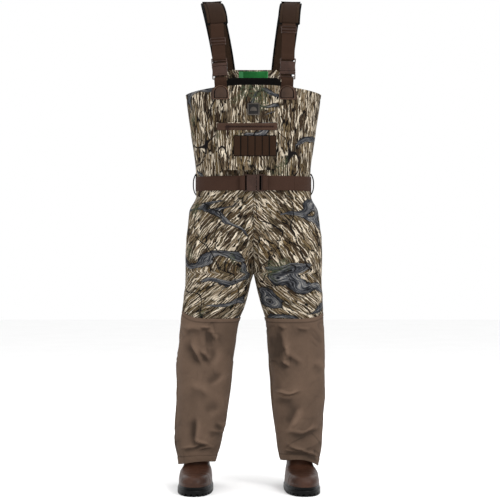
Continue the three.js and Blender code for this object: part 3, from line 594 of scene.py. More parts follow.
def camo(name, turn=0.0, sway=0.018, limb_turn=0.0, limb_shift=0.0):
    """Printed bark: brown plates with pale strands and dark cracks between, grey limbs, some green."""
    s = Shader(name, roughness=0.9, specular=0.08)
    flat = s.coordinates("UV")
    bent = s.warped(s.scaled(flat, (1, 1, 1), turn), 12.0, (sway, 0.040, 0))
    bent = s.warped(bent, 70.0, (0.0065, 0.014, 0))
    tall = s.scaled(bent, (108, 12, 1))
    plate = {"Vector": tall, "Scale": 1.0}
    cell = s.add("TexVoronoi", plate, voronoi_dimensions="2D", feature="F1")
    edge = s.add("TexVoronoi", plate, voronoi_dimensions="2D", feature="DISTANCE_TO_EDGE")
    pick = s.add("SeparateColor", {"Color": cell.outputs["Color"]}).outputs[0]
    plates = s.ramp(
        pick,
        [(0.0, (54, 42, 30)), (0.13, (90, 74, 50)), (0.25, (70, 57, 41)), (0.37, (101, 86, 62)),
         (0.48, (82, 71, 53)), (0.58, (114, 98, 76)), (0.68, (62, 50, 37)), (0.78, (94, 82, 66)),
         (0.87, (124, 110, 90)), (0.94, (76, 65, 48))],
        constant=True,
    )
    grain = s.noise(s.scaled(bent, (480, 50, 1)), 1.0, 3.0)
    plates = s.mix(s.step(grain, 0.50, 0.60), plates, linear((40, 31, 22)))
    plates = s.mix(s.step(grain, 0.38, 0.31), plates, linear((138, 124, 103)))
    split = edge.outputs["Distance"]
    lively = s.step(s.noise(s.scaled(bent, (46, 13, 1)), 1.0, 2.0), 0.45, 0.52)
    reach = s.math("SUBTRACT", split, s.product(lively, 0.13))
    color = s.mix(s.step(reach, 0.11, 0.07), plates, linear(BLACK_BARK))
    strand = s.product(s.step(split, 0.140, 0.105), lively)
    bleached = s.ramp(
        s.noise(s.scaled(bent, (150, 30, 1)), 1.0, 2.0),
        [(0.35, (132, 118, 99)), (0.62, (206, 194, 174))],
    )
    color = s.mix(strand, color, bleached)
    dash = s.noise(s.scaled(bent, (260, 70, 1)), 1.0, 2.0)
    color = s.mix(s.step(dash, 0.60, 0.64), color, linear(BLACK_BARK))
    shift = s.vector("ADD", s.warped(flat, 6.0, (0.05, 0.05, 0)), (limb_shift, 0.0, 0.0))
    limb = s.noise(s.scaled(shift, (2.6, 6.2, 1), limb_turn), 1.0, 2.0, 0.5)
    side = s.math("SUBTRACT", limb, 0.5)
    away = s.math("ABSOLUTE", side)
    only = s.step(s.noise(s.scaled(flat, (4.3, 3.7, 1), 0.7), 1.0, 1.0), 0.47, 0.53)
    wide = s.product(only, 0.030)
    ragged = s.noise(s.scaled(bent, (90, 60, 1)), 1.0, 2.0)
    frayed = s.product(s.math("SUBTRACT", ragged, 0.5), 0.03)
    depth = s.math("ADD", s.math("SUBTRACT", wide, away), s.product(frayed, only))
    inside = s.step(depth, 0.000, 0.003)
    rim = s.product(s.step(depth, -0.007, -0.001), s.step(only, 0.02, 0.2))
    parts = s.add("SeparateXYZ", {"Vector": flat}).outputs
    drawn = {"X": s.product(side, 230.0), "Y": s.product(parts[0], 30.0), "Z": s.product(parts[1], 30.0)}
    fibre = s.noise(s.add("CombineXYZ", drawn).outputs[0], 1.0, 4.0, 0.62)
    lit = s.math("ADD", fibre, s.product(side, 2.2))
    bark = s.ramp(
        lit,
        [(0.34, (12, 12, 13)), (0.44, (36, 37, 40)), (0.53, (64, 65, 69)), (0.60, (98, 98, 98)),
         (0.66, (140, 136, 130)), (0.71, (44, 42, 42))],
    )
    color = s.mix(rim, color, linear((12, 11, 11)))
    color = s.mix(inside, color, bark)
    twig = s.noise(s.scaled(s.warped(flat, 20.0, (0.02, 0.02, 0)), (7, 4, 1), -0.5), 1.0, 1.0)
    thin = s.step(s.math("ABSOLUTE", s.math("SUBTRACT", twig, 0.44)), 0.0065, 0.0040)
    color = s.mix(thin, color, linear((17, 15, 15)))
    patch = s.noise(s.scaled(flat, (9, 7, 1), 1.1), 1.0, 3.0)
    speck = s.noise(s.scaled(flat, (190, 150, 1)), 1.0, 2.0)
    leaves = s.product(s.step(patch, 0.60, 0.66), s.step(speck, 0.44, 0.54))
    color = s.mix(s.product(leaves, 0.8), color, linear((62, 68, 50)))
    weave = s.noise(s.scaled(flat, (1500, 1500, 1)), 1.0, 1.0)
    return s.finish(color, s.bump(weave, 0.0003, 0.5))


def woven(name, color, period, dark=0.72, kind="UV", folds=False):
    """Plain woven cloth: crossing threads with painted shade between them, slow changes of tone and paler
    rubbed places; with folds, painted shade in the fold valleys and a painted highlight on the fold lips.
    """
    s = Shader(name, roughness=0.9, specular=0.1)
    place = s.coordinates(kind)
    thread = {"Vector": place, "Scale": 0.5 / period, "Distortion": 0.6, "Detail": 1.0}
    warp = s.add("TexWave", thread, bands_direction="X")
    weft = s.add("TexWave", thread, bands_direction="Y" if kind == "UV" else "Z")
    threads = s.product(warp.outputs["Fac"], weft.outputs["Fac"])
    deep = darker(color, dark)
    pale = paler(color, 1.22, 6)
    tone = s.noise(place, 9.0, 4.0, 0.6)
    base = s.mix(s.step(tone, 0.3, 0.72), linear(deep), linear(color))
    slub = s.noise(s.scaled(place, (900, 90, 300)), 1.0, 2.0)
    base = s.mix(s.product(s.step(slub, 0.5, 0.8), 0.24), base, linear(pale))
    # Painted shade in the gaps between the threads.
    base = s.mix(s.product(s.step(threads, 0.5, 0.0), 0.22), base, linear(deep))
    if folds:
        # Painted shade in the fold valleys and a painted highlight on the fold lips, read from the fold
        # attribute.
        shading = s.add("Attribute", attribute_name="fold").outputs["Fac"]
        base = s.mix(s.product(s.step(shading, 0.0, -1.0), 0.80), base, linear(darker(color, 0.50)))
        base = s.mix(s.product(s.step(shading, 0.0, 0.9), 0.45), base, linear(pale))
    return s.finish(base, s.bump(threads, period * 0.35, 0.6))


def ribbed(name, color, across=0.0021, along=0.0032):
    """Webbing: lengthways ribs of yarn that cross in short diagonal steps."""
    s = Shader(name, roughness=0.75, specular=0.07)
    place = s.coordinates("UV")
    lengthways = {"Vector": s.scaled(place, (1, 0, 1)), "Scale": 0.5 / across, "Distortion": 0.0}
    diagonal = {"Vector": place, "Scale": 0.5 / along, "Distortion": 0.5}
    ribs = s.add("TexWave", lengthways, bands_direction="X")
    steps = s.add("TexWave", diagonal, bands_direction="DIAGONAL")
    height = s.math("ADD", s.product(ribs.outputs["Fac"], 0.7), s.product(steps.outputs["Fac"], 0.5))
    tone = s.noise(place, 30.0, 3.0)
    deep, pale = darker(color, 0.72), paler(color, 1.18, 5)
    # The colour follows the rib height: painted shade in the grooves between the ribs and a painted
    # highlight on their crowns.
    base = s.mix(s.step(height, 0.1, 0.9), linear(deep), linear(pale))
    base = s.mix(s.product(s.step(tone, 0.35, 0.7), 0.35), base, linear(color))
    return s.finish(base, s.bump(height, 0.0007, 0.7))


def moulded(name, color, roughness, grain=0.0009, specular=0.18):
    """Moulded plastic or rubber: fine grain, soft changes of tone and of roughness."""
    s = Shader(name, roughness=roughness, specular=specular)
    place = s.coordinates("Object")
    cells = s.add("TexVoronoi", {"Vector": place, "Scale": 1 / grain}, feature="SMOOTH_F1")
    tone = s.noise(place, 22.0, 4.0, 0.6)
    deep, pale = darker(color, 0.738), paler(color, 1.16, 4)
    base = s.mix(s.step(tone, 0.3, 0.7), linear(deep), linear(pale))
    rough = s.step(s.noise(place, 60.0, 3.0), -0.6, 1.9)
    lift = s.math("ADD", s.product(rough, 0.25), roughness - 0.12)
    return s.finish(base, s.bump(cells.outputs["Distance"], 0.00012, 0.6), lift)


def boot_leather(name):
    """Brown rubber cast with a leather grain, darker in its creases, with paler scuffs."""
    s = Shader(name, roughness=0.42, specular=0.20)
    place = s.coordinates("Object")
    cells = s.add("TexVoronoi", {"Vector": place, "Scale": 420.0}, feature="DISTANCE_TO_EDGE")
    grain = cells.outputs["Distance"]
    tone = s.noise(place, 14.0, 4.0, 0.6)
    base = s.mix(s.step(tone, 0.3, 0.72), linear((42, 24, 15)), linear((72, 45, 32)))
    # Painted shade in the creases of the grain.
    base = s.mix(s.product(s.step(grain, 0.12, 0.0), 0.45), base, linear((28, 16, 10)))
    scuff = s.noise(s.scaled(place, (60, 60, 200)), 1.0, 4.0, 0.7)
    base = s.mix(s.product(s.step(scuff, 0.58, 0.8), 0.3), base, linear((112, 86, 72)))
    rough = s.math("ADD", s.product(tone, 0.35), 0.27)
    return s.finish(base, s.bump(grain, 0.0005, 0.5), rough)


CAMO_BIB = camo("camo_upright", limb_shift=-0.435)
CAMO_LEG = {
    "left": camo("camo_left_leg", math.radians(-46), 0.010, 1.2, 0.37),
    "right": camo("camo_right_leg", math.radians(46), 0.010, -0.1, 0.0),
}
OVERLAY = woven("overlay_cloth", (97, 79, 66), period=0.0016, dark=0.84, folds=True)
WEB = ribbed("strap_webbing", (46, 30, 21))
PAD_WEB = ribbed("pad_webbing", (38, 25, 17))
BELT = ribbed("belt_webbing", (53, 36, 28))
PAD = woven("pad_cloth", (52, 37, 26), period=0.0030, dark=0.78, kind="Object")
BINDING = woven("black_binding", (11, 9, 8), period=0.0012)
LINING = woven("black_lining", (17, 14, 12), period=0.0030, dark=0.5)
PLASTIC = moulded("buckle_plastic", (52, 35, 28), roughness=0.30)
PATCH = moulded("patch_rubber", (54, 38, 28), roughness=0.5)
PATCH_RIM = moulded("patch_rim_rubber", (72, 52, 40), roughness=0.45)
BADGE = moulded("badge_rubber", (62, 57, 52), roughness=0.5)
BADGE_DARK = moulded("badge_recess", (18, 16, 15), roughness=0.5)
BOOT = boot_leather("boot_rubber")
TREAD = moulded("tread_rubber", (7, 7, 7), roughness=0.40, grain=0.0012, specular=0.10)
ELASTIC = ribbed("elastic_loops", (42, 27, 17), across=0.0014, along=0.0018)
ELASTIC_DARK = woven("elastic_shadow", (12, 8, 5), period=0.0012)
ZIP = moulded("zip_nylon", (38, 22, 17), roughness=0.4, specular=0.1)
LABEL = woven("label_cloth", (40, 120, 58), period=0.0009, dark=0.6)
LABEL_PALE = woven("label_band", (78, 160, 98), period=0.0009, dark=0.7)
TAPE = woven("zip_tape", (74, 54, 44), period=0.0012)
THREAD = woven("stitching", (74, 54, 42), period=0.0008)


def dress(obj, body, slot, material, *nodes):
    """Gives a finished piece its material and body, and hides the CAD nodes it stands for."""
    obj.data.materials.clear()
    obj.data.materials.append(material)
    if body is not None:
        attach(obj, body)
    if nodes:
        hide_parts(*nodes)
    return obj


# ---------------------------------------------------------------- camera, lights, floor
def build_stage():
    camera = bpy.data.cameras.new("camera")
    camera.sensor_width = 36
    distance, frame_height = 5.0, 1.75
    camera.lens = camera.sensor_width * distance / frame_height
    holder = link("camera", camera)
    holder.location = (-0.012, -distance, SOLE + 0.828)
    holder.rotation_euler = (math.radians(90), 0, 0)
    bpy.context.scene.camera = holder

    for name, place, size, power_w in (
        ("key", (2.6, -3.0, 2.2), 1.4, 105),
        ("fill", (-3.0, -3.0, 0.3), 2.4, 26),
        ("top", (0.3, -0.4, 2.6), 1.8, 40),
        ("back_left", (-2.4, 2.8, 0.9), 2.0, 22),
        ("back_right", (2.4, 2.8, 0.9), 2.0, 22),
    ):
        light = bpy.data.lights.new(name, "AREA")
        light.energy = power_w
        light.size = size
        lamp = link(name, light)
        lamp.location = place
        aim = Vector((0, 0, SOLE + 0.95)) - Vector(place)
        lamp.rotation_euler = aim.to_track_quat("-Z", "Y").to_euler()

    world = bpy.data.worlds.new("studio")
    world.use_nodes = True
    world.node_tree.nodes["Background"].inputs["Color"].default_value = (1, 1, 1, 1)
    world.node_tree.nodes["Background"].inputs["Strength"].default_value = 1.0
    bpy.context.scene.world = world
    bpy.context.scene.view_settings.view_transform = "Standard"

    reach = 12
    corners = ((-reach, -reach), (reach, -reach), (reach, reach), (-reach, reach))
    floor = make_object("floor", [(x, y, SOLE - 0.001) for x, y in corners], [(0, 1, 2, 3)])
    s = Shader("pale_floor", roughness=0.9, specular=0.1)
    speckle = s.noise(s.coordinates("Object"), 3.0)
    floor.data.materials.append(s.finish(s.mix(speckle, linear((246, 246, 246)), linear((252, 252, 252)))))


# ---------------------------------------------------------------- garment
def front_edge(x):
    return BIB_TOP - CORNER_DROP * np.abs(x / CHEST_HALF) ** 2.2


def bib_edge(x, y):
    t = np.clip((np.abs(x) - 0.080) / 0.070, 0, 1)
    fall = t * t * (3 - 2 * t)
    back = (BIB_TOP + BACK_RISE) * (1 - fall) + front_edge(x) * fall
    return np.where(y < 0, front_edge(x), back)


def bib_grid(columns, rows, low, drop, out):
    angle = np.linspace(-np.pi, np.pi, columns, endpoint=False) - np.pi / 2
    angle = (angle + np.pi) % (2 * np.pi) - np.pi
    angle = np.where(np.abs(angle) < 1e-9, 1e-9, angle)
    high = np.full(columns, BIB_TOP)
    for _ in range(6):
        p = on_body(high, angle, out)
        high = bib_edge(p[:, 0], p[:, 1]) - drop
    share = np.linspace(0, 1, rows)[:, None]
    z = low + (high - low)[None] * share
    return on_body(z, np.broadcast_to(angle, z.shape), out), high[None] - z


def gathers(points, height, seed, reach=0.045, size=0.0028, period=0.030):
    """Small upright puckers that fade away from the belt."""
    u = np.arctan2(points[..., 1], points[..., 0]) * 0.19
    fade = np.exp(-np.abs(height) / reach)
    wave = value_noise(u / period + 40, height * 5 + 20, seed, 2)
    return size * fade * wave


def build_bib():
    points, below = bib_grid(300, 120, WAIST - 0.004, 0.0, 0.0)
    x, y, z = points[..., 0], points[..., 1], points[..., 2]
    lift = 0.0022 * value_noise(x * 7 + 30 + (y > 0) * 9, z * 4 + 10, 3, 3)
    lift += gathers(points, z - WAIST - 0.028, 5)
    for sign in (1, -1):
        mirrored = x * sign
        lift += crease(mirrored, z, (0.20, 1.33), (0.10, 1.20), 0.012, 0.0035)
        lift += crease(mirrored, z, (0.205, 1.25), (0.13, 1.11), 0.010, 0.0030)
        lift += crease(mirrored, z, (0.19, 1.14), (0.12, 1.085), 0.008, 0.0030)
    hem = ledge(below - 0.013, 0.0008, 0.0009) - 0.0012 * bell(below - 0.0145, 0.0012)
    side_seam = -0.0018 * bell(y, 0.0025) * (np.abs(x) > 0.15)
    calm = np.clip(below / 0.03, 0.25, 1)
    points = pushed(points, lift * calm + hem + side_seam, True)
    uv = wrapped_uv(points, z, centred=True)
    shell = grid_object("bib_shell", points, uv, wrap=True, thickness=SHELL)
    dress(shell, "torso", "camo_cloth", CAMO_BIB, "bib_front_panel", "bib_back_panel")

    inner, below = bib_grid(220, 60, WAIST - 0.004, 0.029, -SHELL - 0.0012)
    x, y, z = inner[..., 0], inner[..., 1], inner[..., 2]
    lift = 0.0010 * value_noise(x * 9 + 60, z * 8 + 10, 9, 3) - 0.0006
    inner = pushed(inner, lift, True)
    lining = grid_object("bib_lining_cloth", inner, wrapped_uv(inner, z), wrap=True, thickness=0.0018)
    dress(lining, "torso", "lining", LINING, "bib_lining")


def leg_grid(sign, columns, rows, low, high, out=0.0, gap=0.0003):
    """A grid round one leg from the front seam by the outer side to the back seam."""
    if np.ndim(high) == 0:
        high = np.full(columns, high)
    share = np.linspace(0, 1, rows)[:, None]
    z = low + (high[None] - low) * share
    limit = seam_angle(z, gap)
    across = np.linspace(-1, 1, columns)[None]
    points = on_body(z, limit * across, out)
    points[..., 0] = sign * points[..., 0] - lean(z)
    if sign < 0:
        points = points[:, ::-1]
    return points


# Folds of the trousers over (distance from the middle, height): start, end, half width, depth.
LEG_FOLDS = (
    ((0.016, 0.800), (0.120, 0.742), 0.012, 0.0090),
    ((0.024, 0.775), (0.095, 0.690), 0.011, 0.0080),
    ((0.012, 0.845), (0.115, 0.815), 0.013, 0.0060),
    ((0.225, 0.900), (0.150, 0.830), 0.013, 0.0055),
    ((0.060, 0.690), (0.150, 0.650), 0.013, 0.0055),
    ((0.230, 0.700), (0.180, 0.640), 0.013, 0.0045),
    ((0.010, 0.880), (0.014, 0.740), 0.009, 0.0110),
)
# Folds of each shin overlay over (x, height), in the same form.
OVERLAY_FOLDS = {
    "right": (
        ((-0.174, 0.5625), (-0.153, 0.5590), 0.0042, 0.0080),
        ((-0.158, 0.5560), (-0.130, 0.5150), 0.0075, 0.0090),
        ((-0.236, 0.5510), (-0.160, 0.5530), 0.0080, 0.0060),
        ((-0.220, 0.5180), (-0.193, 0.4250), 0.0100, 0.0120),
        ((-0.188, 0.4850), (-0.161, 0.4400), 0.0100, 0.0090),
        ((-0.125, 0.5000), (-0.160, 0.4300), 0.0130, 0.0060),
        ((-0.110, 0.4100), (-0.150, 0.3600), 0.0120, 0.0060),
        ((-0.225, 0.3500), (-0.160, 0.3200), 0.0140, 0.0055),
        ((-0.120, 0.3000), (-0.165, 0.2700), 0.0140, 0.0050),
        ((-0.204, 0.2480), (-0.204, 0.1600), 0.0095, 0.0130),
        ((-0.208, 0.1680), (-0.158, 0.1440), 0.0060, 0.0130),
        ((-0.130, 0.2300), (-0.105, 0.2000), 0.0070, 0.0070),
        ((-0.150, 0.2000), (-0.100, 0.1850), 0.0060, 0.0050),
        ((-0.243, 0.1380), (-0.172, 0.1500), 0.0050, 0.0080),
        ((-0.190, 0.1320), (-0.145, 0.1400), 0.0050, 0.0060),
    ),
    "left": (
        ((0.150, 0.5600), (0.190, 0.5560), 0.0050, 0.0050),
        ((0.078, 0.5650), (0.110, 0.5500), 0.0060, 0.0050),
        ((0.086, 0.5500), (0.090, 0.4300), 0.0140, 0.0100),
        ((0.098, 0.4950), (0.118, 0.4600), 0.0070, 0.0100),
        ((0.112, 0.4700), (0.160, 0.4350), 0.0090, 0.0060),
        ((0.096, 0.4450), (0.116, 0.4150), 0.0070, 0.0090),
        ((0.082, 0.3300), (0.156, 0.3370), 0.0055, 0.0130),
        ((0.078, 0.3080), (0.150, 0.3130), 0.0120, 0.0130),
        ((0.160, 0.3000), (0.112, 0.2200), 0.0120, 0.0100),
        ((0.200, 0.4400), (0.236, 0.4100), 0.0120, 0.0050),
        ((0.110, 0.1900), (0.225, 0.2020), 0.0080, 0.0080),
        ((0.118, 0.1530), (0.232, 0.1040), 0.0062, 0.0170),
        ((0.108, 0.1350), (0.165, 0.1250), 0.0060, 0.0080),
    ),
}
# How far the hem drops at the inseam, front, outer side and back.
HEM_DROP = {"right": (0.010, -0.004, 0.022, 0.006), "left": (0.000, -0.010, 0.028, 0.006)}


def build_legs():
    for name, sign in SIDES:
        points = leg_grid(sign, 200, 160, 0.566, WAIST + 0.004, -0.0005, 0.0)
        x, y, z = points[..., 0], points[..., 1], points[..., 2]
        lift = 0.0035 * value_noise(x * 6 + 30 * sign + (y > 0) * 7, z * 5 + 10, 21, 3)
        lift += gathers(points, z - WAIST + 0.028, 15)
        reach = x * sign
        front = ledge(y, 0.015)
        for start, end, width, depth in LEG_FOLDS:
            lift += crease(reach, z, start, end, width, depth) * (0.35 + 0.65 * front)
        torso = np.clip((z - CROTCH) / 0.02, 0, 1)
        seam = -0.0022 * bell(np.abs(x), 0.003) * torso
        calm = np.clip((z - OVERLAY_TOP) / 0.03, 0, 1) * np.clip((WAIST - z) / 0.02, 0, 1)
        near_seam = 1 - 0.85 * bell(np.abs(x), 0.012) * torso
        points = pushed(points, lift * calm * near_seam + seam, False)
        tucked = 0.009 * np.clip((OVERLAY_TOP - 0.002 - z) / 0.010, 0, 1)
        points = pushed(points, -tucked, False)
        own_side = sign * np.maximum(sign * points[..., 0], 0.0)
        points[..., 0] = np.where(z > CROTCH + 0.004, own_side, points[..., 0])
        hip = z[:, 0] > CROTCH + 0.004
        points[hip, 0, 0] = 0.0
        points[hip, -1, 0] = 0.0
        closed = z[:, 0] < CROTCH - 0.002
        middle = (points[:, 0] + points[:, -1]) / 2
        points[closed, 0] = middle[closed]
        points[closed, -1] = middle[closed]
        u = arc_lengths(points, False)
        if sign < 0:
            u = u - u[:, -1:]
        uv = np.stack([u, z], -1)
        leg = grid_object("trouser_" + name, points, uv, thickness=SHELL - 0.0004, weld=True)
        dress(leg, None, "camo_cloth", CAMO_LEG[name], "hip_panel_" + name, "thigh_panel_" + name)
        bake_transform(leg)


def build_overlays():
    for name, sign in SIDES:
        columns = 200
        across = np.linspace(-1, 1, columns) * sign
        rise = 0.018 if sign > 0 else 0.028
        top = OVERLAY_TOP + rise * bell(across, 0.25)
        points = leg_grid(sign, columns, 240, HEM, top, 0.0016)
        x, y, z = points[..., 0], points[..., 1], points[..., 2]
        front = ledge(y, 0.012)
        lift = 0.0042 * value_noise(x * 7 + 50 * sign + (y > 0) * 5, z * 6 + 3, 31, 3)
        lift += 0.0018 * value_noise(x * 24 + 70, z * 18 + 9, 33, 2) * np.exp(-(z - HEM) / 0.12)
        tone = 0.30 * value_noise(x * 11 + 20, z * 5 + 31, 35, 3)
        bent_x = x + 0.0075 * value_noise(x * 16 + 3, z * 22 + 9, 61, 2)
        bent_z = z + 0.0065 * value_noise(x * 24 + 40, z * 14 + 17, 62, 2)
        # fine_wrinkles gives the small creases' height and the painted shade in them.
        crumple, tone_and_shade = fine_wrinkles(x + 0.3 * sign * (y > 0), z)
        lift += crumple
        tone += tone_and_shade
        # Each fold adds painted shade in its valley and a painted highlight on its lip to tone, on the back
        # too.
        for start, end, width, depth in OVERLAY_FOLDS[name]:
            lift += crease(bent_x, bent_z, start, end, width, depth) * front
            tone += crease_tone(bent_x, bent_z, start, end, width, depth) * front
            mirrored = 2 * (sign * (HEM_OUTER - HEM_HALF) - STANCE) - bent_x
            lift += 0.45 * crease(mirrored, bent_z + 0.03, start, end, width * 1.8, depth) * (1 - front)
            tone += 0.5 * crease_tone(mirrored, bent_z + 0.03, start, end, width * 1.8, depth) * (1 - front)
        floor = np.interp(z, [HEM + 0.06, HEM + 0.12], [-0.0012, -0.0045])
        lift = np.maximum(lift, floor)
        below_top = top[None] - z
        calm = np.clip(below_top / 0.02, 0, 1) * (0.4 + 0.6 * np.clip((z - HEM) / 0.03, 0, 1))
        edge = ledge(below_top - 0.012, 0.0008, 0.0010)
        edge -= 0.0010 * bell(below_top - 0.0135, 0.0011)
        hem = ledge(z - HEM - 0.020, 0.0008, 0.0008)
        hem -= 0.0012 * bell(z - HEM - 0.022, 0.0012)
        points = pushed(points, lift * calm + edge + hem, False)
        turns = np.array([-1.0, -0.5, 0.0, 0.5, 1.0])
        inseam, ahead, outer, behind = HEM_DROP[name]
        drop = np.interp(across, turns, (inseam, ahead, outer, behind, inseam))
        drop = np.convolve(np.pad(drop, 12, mode="edge"), np.ones(25) / 25, mode="valid")
        wave = 0.003 * value_noise(x * 9 + 11 * sign, y * 9 + 5, 41, 2)
        points[..., 2] += (wave - drop[None]) * np.exp(-(z - HEM) / 0.05)
        middle = (points[:, 0] + points[:, -1]) / 2
        points[:, 0] = middle
        points[:, -1] = middle
        u = arc_lengths(points, False)
        uv = np.stack([u, z], -1)
        # Painted shade in the groove under the top edge's hem and in the groove above the bottom hem.
        tone = tone * calm - 0.9 * bell(below_top - 0.0135, 0.0016)
        tone = tone - 0.7 * bell(z - HEM - 0.022, 0.0016)
        cloth = grid_object("overlay_" + name, points, uv, thickness=0.0026, weld=True, fold=tone)
        dress(cloth, None, "overlay_cloth", OVERLAY, "shin_overlay_" + name)
        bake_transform(cloth)


def build_knee_pads():
    for name, sign in SIDES:
        low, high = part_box("knee_pad_" + name)
        heights = np.linspace(low.z, high.z, 28) - SOLE
        angles = np.linspace(-0.67, -0.33, 34) * np.pi
        z, angle = np.meshgrid(heights, angles, indexing="ij")
        u, v = np.meshgrid(np.linspace(-1, 1, 34), np.linspace(-1, 1, 28))
        swell = 0.003 * (1 - u**4) * (1 - v**4)
        points = on_body(z, angle, -0.0155)
        points[..., 0] = sign * points[..., 0] - lean(z)
        if sign < 0:
            points = points[:, ::-1]
        points = pushed(points, swell, False)
        pad = grid_object("knee_foam_" + name, points, np.stack([u, v], -1) * 0.08, thickness=0.005)
        dress(pad, "shin_" + name, "padding", PAD, "knee_pad_" + name)


# ---------------------------------------------------------------- boots
TOE = -0.205
HEEL = 0.105
BOOT_HALF = 0.061
SHAFT_FRONT = -0.054
SHAFT_HALF = HEM_HALF - SHELL - 0.0105
TOE_OUT = {"left": math.radians(3.5), "right": math.radians(-1)}
SOLE_THICKNESS = 0.020
boot_rise = np.array([0.0004, 0.018, 0.034, 0.044, 0.050, 0.057, 0.066, 0.080, 0.105, 0.130, 0.170])
vamp_share = np.array([0.06, 0.20, 0.50, 0.84])
boot_front = np.concatenate([
    [TOE + 0.004, TOE + 0.001],
    TOE + vamp_share * (SHAFT_FRONT - TOE),
    SHAFT_FRONT + np.array([0.0, 0.013, 0.022, 0.024, 0.024]),
])
boot_back = HEEL - np.array([0.002, 0.0, 0.001, 0.003, 0.004, 0.006, 0.009, 0.016, 0.023, 0.027, 0.027])
boot_half = np.concatenate([
    BOOT_HALF - np.array([0.002, 0.0, 0.001, 0.003, 0.006, 0.010]),
    SHAFT_HALF + np.array([0.0, -0.001, -0.001, 0.0, 0.001]),
])


def boot_section(front, back, half, rise, angle, out=0.0):
    middle = (front + back) / 2
    y = middle + ((back - front) / 2 + out) * power(np.sin(angle))
    share = np.clip((y - TOE) / (HEEL - TOE), 0, 1)
    narrowing = np.where(rise < 0.070, 1 - 0.16 * share, 0.92)
    x = (half * narrowing + out) * power(np.cos(angle))
    return x, y


def boot_grid(columns, rows):
    """The boot's skin, with smooth curves through the levels of boot_rise."""
    s = np.linspace(0, len(boot_rise) - 1, rows)

    def along(values):
        padded = np.concatenate([[2 * values[0] - values[1]], values, [2 * values[-1] - values[-2]]])
        k = np.clip(np.floor(s).astype(int), 0, len(boot_rise) - 2)
        t = s - k
        p0, p1, p2, p3 = padded[k], padded[k + 1], padded[k + 2], padded[k + 3]
        square = 2 * p0 - 5 * p1 + 4 * p2 - p3
        cube = 3 * p1 - p0 - 3 * p2 + p3
        return 0.5 * (2 * p1 + (p2 - p0) * t + square * t**2 + cube * t**3)

    rise, front, back, half = (along(v)[:, None] for v in (boot_rise, boot_front, boot_back, boot_half))
    angle = np.linspace(0, 2 * np.pi, columns, endpoint=False)[None]
    x, y = boot_section(front, back, half, rise, angle)
    z = np.broadcast_to(SOLE_THICKNESS + rise, x.shape)
    return np.stack([x, y, z], -1)


def build_boots():
    for name, sign in SIDES:
        centre = sign * (HEM_OUTER - HEM_HALF) - STANCE
        place = Matrix.Translation((centre, 0, 0)) @ Matrix.Rotation(TOE_OUT[name], 4, "Z")
        points = boot_grid(120, 90)
        x, y, z = points[..., 0], points[..., 1], points[..., 2]
        rise = z - SOLE_THICKNESS
        cap = -0.0014 * bell(y + 0.150 - 1.2 * np.abs(x) ** 1.2 * 0.35, 0.0022) * (rise > 0.012)
        vamp = 0.0
        for at in (-0.118, -0.100, -0.082):
            vamp = vamp - 0.0012 * bell(y - at - 0.08 * np.abs(x), 0.004) * (rise > 0.03)
        band = ledge(rise - 0.011, 0.0006, 0.0016)
        counter = -0.0010 * bell(y - 0.045 - 0.25 * rise, 0.002) * (rise > 0.012) * (rise < 0.08)
        grain = 0.0006 * value_noise(x * 60 + 20, y * 60 + z * 40 + 20, 51, 3)
        toe = 0.0022 * bell(y + 0.185, 0.03) * (rise > 0.02)
        points = pushed(points, cap + vamp + band + counter + grain + toe, True)
        upper = grid_object("boot_" + name, points, wrapped_uv(points, z), wrap=True, thickness=0.0035)
        upper.data.transform(place)
        dress(upper, "boot_" + name, "boot_rubber", BOOT, "boot_upper_" + name)
        upper.data.materials.append(TREAD)
        for face in upper.data.polygons:
            if face.center[2] - SOLE < SOLE_THICKNESS + 0.0108:
                face.material_index = 1

        whole = join("boot_sole_" + name, [sole_plate()] + lug_blocks(), place)
        dress(whole, "boot_" + name, "tread_rubber", TREAD, "boot_outsole_" + name)


def sole_outline(count, out):
    angle = np.linspace(0, 2 * np.pi, count, endpoint=False)
    return np.stack(boot_section(boot_front[1], boot_back[1], boot_half[1], 0.018, angle, out), -1)


def sole_plate():
    """The sole's body: a rim that swells in the middle, above the lugs."""
    levels = (
        (0.0065, 0.0005), (0.0072, 0.0025), (0.0100, 0.0040),
        (0.0150, 0.0042), (0.0190, 0.0026), (0.0205, 0.0004),
    )
    n = 96
    rows = [np.column_stack([sole_outline(n, out), np.full(n, z)]) for z, out in levels]
    verts = np.concatenate(rows) + np.array([0, 0, SOLE])
    faces = []
    for k in range(len(levels) - 1):
        for i in range(n):
            j = (i + 1) % n
            faces.append((n * k + i, n * k + j, n * (k + 1) + j, n * (k + 1) + i))
    faces.append(tuple(range(n - 1, -1, -1)))
    faces.append(tuple(range(n * (len(levels) - 1), n * len(levels))))
    return make_object("sole", verts, faces)


def block(low, high, bevel, turn=0.0, at=(0, 0, 0)):
    bm = bmesh.new()
    bmesh.ops.create_cube(bm, size=1)
    size = [high[k] - low[k] for k in range(3)]
    bmesh.ops.scale(bm, vec=size, verts=bm.verts)
    bmesh.ops.translate(bm, vec=[(high[k] + low[k]) / 2 for k in range(3)], verts=bm.verts)
    bmesh.ops.bevel(bm, geom=list(bm.edges), offset=bevel, segments=2, affect="EDGES", profile=0.6)
    obj = from_bmesh("block", bm)
    obj.data.transform(Matrix.Translation(at) @ Matrix.Rotation(turn, 4, "Z"))
    return obj


